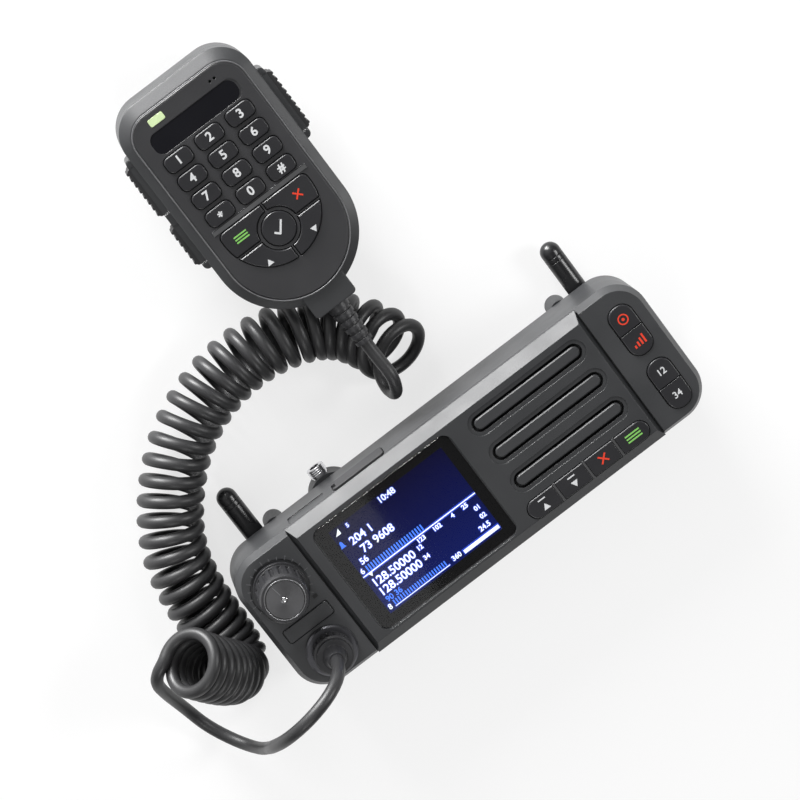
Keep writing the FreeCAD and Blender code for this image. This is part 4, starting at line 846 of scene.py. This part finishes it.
def turned_ring(name, x, y, z, radius, wire, finish, body):
    """A fine ring lying flat, modelled as a torus and flattened a little."""
    let_go()
    bpy.ops.mesh.primitive_torus_add(location=(x * MM, y * MM, z * MM), major_radius=radius * MM,
                                     minor_radius=wire * MM, major_segments=72, minor_segments=10)
    ring = bpy.context.object
    ring.scale = (1, 1, 0.6)
    ring = settle(ring, name)
    bpy.ops.object.shade_smooth()
    ring.data.materials.append(finish)
    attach(ring, body)
    return ring


# The near-black ring laid in the cap's groove is painted shade; the same finish is also the real ink of the
# lock mark.
painted_groove_shade_and_mark_ink = moulded("painted_groove_shade_and_mark_ink", (0.004, 0.004, 0.004), 0.5, 0.1, edge=0)
rim_metal = metal("rim_metal", (0.32, 0.32, 0.33), 0.28, 0.1)
turned_ring("cap_groove", KNOB_X, KNOB_Y, CAP_TOP, 6.75, 0.16, painted_groove_shade_and_mark_ink, "knob")
turned_ring("cap_rim", KNOB_X, KNOB_Y, CAP_TOP - 0.02, 7.15, 0.16, rim_metal, "knob")

let_go()
bpy.ops.mesh.primitive_uv_sphere_add(segments=32, ring_count=16, radius=1.0 * MM,
                                     location=(KNOB_X * MM, KNOB_Y * MM, CAP_TOP * MM))
dimple = bpy.context.object
dimple.scale = (1, 1, 0.32)
dimple = settle(dimple, "cap_dimple")
bpy.ops.object.shade_smooth()
dimple.data.materials.append(metal("dimple_metal", (0.62, 0.62, 0.63), 0.16, 0.05))
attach(dimple, "knob")
POINTER_WAY = Vector((-0.16, 0.99))
pointer = face_up("cap_pointer", strip((KNOB_X + POINTER_WAY.x * 2.3, KNOB_Y + POINTER_WAY.y * 2.3),
                                       (KNOB_X + POINTER_WAY.x * 6.0, KNOB_Y + POINTER_WAY.y * 6.0), 0.10),
                  CAP_TOP + 0.01, 0.03, rim_metal, "knob")
print("cap trimmed with", len(dimple.data.polygons), "faces in its dimple")

# %% Scale around the knob
HOUSING_TOP = 38.2
TICKS, TICK_WIDTH = 24, 0.13
TICK_START, SHORT_TICK, LONG_TICK = 10.3, 11.4, 11.9
scale_paint = moulded("scale_paint", (0.10, 0.10, 0.105), 0.5, 0.1, edge=0)
ticks = []
for number in range(TICKS):
    turn = math.tau * number / TICKS
    reach = LONG_TICK if number % 3 == 0 else SHORT_TICK
    start = (KNOB_X + TICK_START * math.cos(turn), KNOB_Y + TICK_START * math.sin(turn))
    end = (KNOB_X + reach * math.cos(turn), KNOB_Y + reach * math.sin(turn))
    outline = strip(start, end, TICK_WIDTH)
    ticks.append(face_up(f"tick_{number}", outline, HOUSING_TOP + 0.02, 0.03, scale_paint, "radio"))
scale = unite("knob_scale", ticks)
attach(scale, "radio")
mark = bar("lock_mark", -66.9, 2.3, -65.1, 3.6, HOUSING_TOP + 0.02, painted_groove_shade_and_mark_ink, "radio", 0.05)
print("scale with", len(ticks), "ticks")

# %% [markdown]
# The bare jack carries a fine thread. One profile is swept round and along by a Screw
# modifier, which is how a thread is cut, and then applied.

# %% Thread on the bare jack
THREAD_START, THREAD_END, THREAD_PITCH = 29.3, 32.4, 0.75
JACK_X, JACK_Z, JACK_RADIUS = -40.0, 7.0, 3.175
mesh = bpy.data.meshes.new("jack_thread")
thread = bpy.data.objects.new("jack_thread", mesh)
bpy.context.scene.collection.objects.link(thread)
THREAD_ROOT = JACK_RADIUS - 0.05
THREAD_CREST = JACK_RADIUS + 0.32
profile = [(THREAD_ROOT, 0.0), (THREAD_CREST, THREAD_PITCH * 0.35), (THREAD_ROOT, THREAD_PITCH * 0.7)]
mesh.from_pydata([(x * MM, 0, z * MM) for x, z in profile], [(0, 1), (1, 2)], [])
screw = thread.modifiers.new("screw", "SCREW")
screw.axis = "Z"
screw.screw_offset = THREAD_PITCH * MM
screw.iterations = int((THREAD_END - THREAD_START) / THREAD_PITCH)
screw.steps = 36
screw.render_steps = 36
apply_all(thread)
thread.rotation_euler = (math.radians(-90), 0, 0)
thread.location = (JACK_X * MM, THREAD_START * MM, JACK_Z * MM)
thread = settle(thread, "jack_thread")
bpy.ops.object.mode_set(mode="EDIT")
bpy.ops.mesh.select_all(action="SELECT")
bpy.ops.mesh.normals_make_consistent(inside=False)
let_go()
thread.data.materials.append(finishes["jack_chrome"])
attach(thread, "radio")
print("thread", len(thread.data.polygons), "faces")

# %% [markdown]
# Above its keys the microphone has a dark window with nothing written on it. It is a
# rounded strip of gloss lying in the recess of the plate.

# %% Microphone window
bpy.ops.mesh.primitive_plane_add(size=1, location=(1.3 * MM, 160.6 * MM, 34.72 * MM))
window = bpy.context.object
window.scale = (35.6 * MM, 7.6 * MM, 1)
window = settle(window, "mic_window")
bpy.ops.object.mode_set(mode="EDIT")
bpy.ops.mesh.select_all(action="SELECT")
bpy.ops.mesh.bevel(offset=3.4 * MM, segments=8, affect="VERTICES")
bpy.ops.mesh.select_all(action="SELECT")
bpy.ops.mesh.extrude_region_move(TRANSFORM_OT_translate={"value": (0, 0, 0.12 * MM)})
bpy.ops.mesh.select_all(action="SELECT")
bpy.ops.mesh.normals_make_consistent(inside=False)
let_go()
window.data.materials.append(moulded("window_gloss", (0.006, 0.006, 0.008), 0.12, 0.02, edge=0))
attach(window, "radio")
print("microphone window", len(window.data.polygons), "faces")

# %% [markdown]
# A fine bead runs around the microphone's plate and catches the light along its edge. Its
# pale grey, three times lighter than the case, is a painted highlight. It is a closed line
# with a round section, which is the quickest way to make a bead of one thickness.

# %% Bead around the plate
PLATE_X, PLATE_ROUND_Y, PLATE_HALF = 1.3, 110.3, 22.9
PLATE_TOP_Y, PLATE_CORNER = 171.7, 9.2


def arc_points(x, y, radius, start, end, count):
    steps = [math.radians(start + (end - start) * number / count) for number in range(count + 1)]
    return [(x + radius * math.cos(turn), y + radius * math.sin(turn)) for turn in steps]


outline = arc_points(PLATE_X, PLATE_ROUND_Y, PLATE_HALF, 180, 360, 40)
corner_x, corner_y = PLATE_HALF - PLATE_CORNER, PLATE_TOP_Y - PLATE_CORNER
outline += arc_points(PLATE_X + corner_x, corner_y, PLATE_CORNER, 0, 90, 12)
outline += arc_points(PLATE_X - corner_x, corner_y, PLATE_CORNER, 90, 180, 12)
bead_curve = bpy.data.curves.new("plate_bead", "CURVE")
bead_curve.dimensions = "3D"
bead_curve.bevel_depth = 0.22 * MM
bead_curve.bevel_resolution = 3
bead_line = bead_curve.splines.new("POLY")
bead_line.points.add(len(outline) - 1)
for point, (x, y) in zip(bead_line.points, outline):
    point.co = (x * MM, y * MM, 34.95 * MM, 1)
bead_line.use_cyclic_u = True
bead = bpy.data.objects.new("plate_bead", bead_curve)
bpy.context.scene.collection.objects.link(bead)
take(bead)
bpy.ops.object.convert(target="MESH")
bead = settle(bpy.context.object, "plate_bead")
bpy.ops.object.shade_smooth()
# The bead's pale grey is a painted highlight along the edge of the plate.
bead.data.materials.append(moulded("bead_painted_highlight_grey", (0.11, 0.11, 0.115), 0.3, 0.1, edge=0))
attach(bead, "radio")
print("bead", len(bead.data.polygons), "faces")
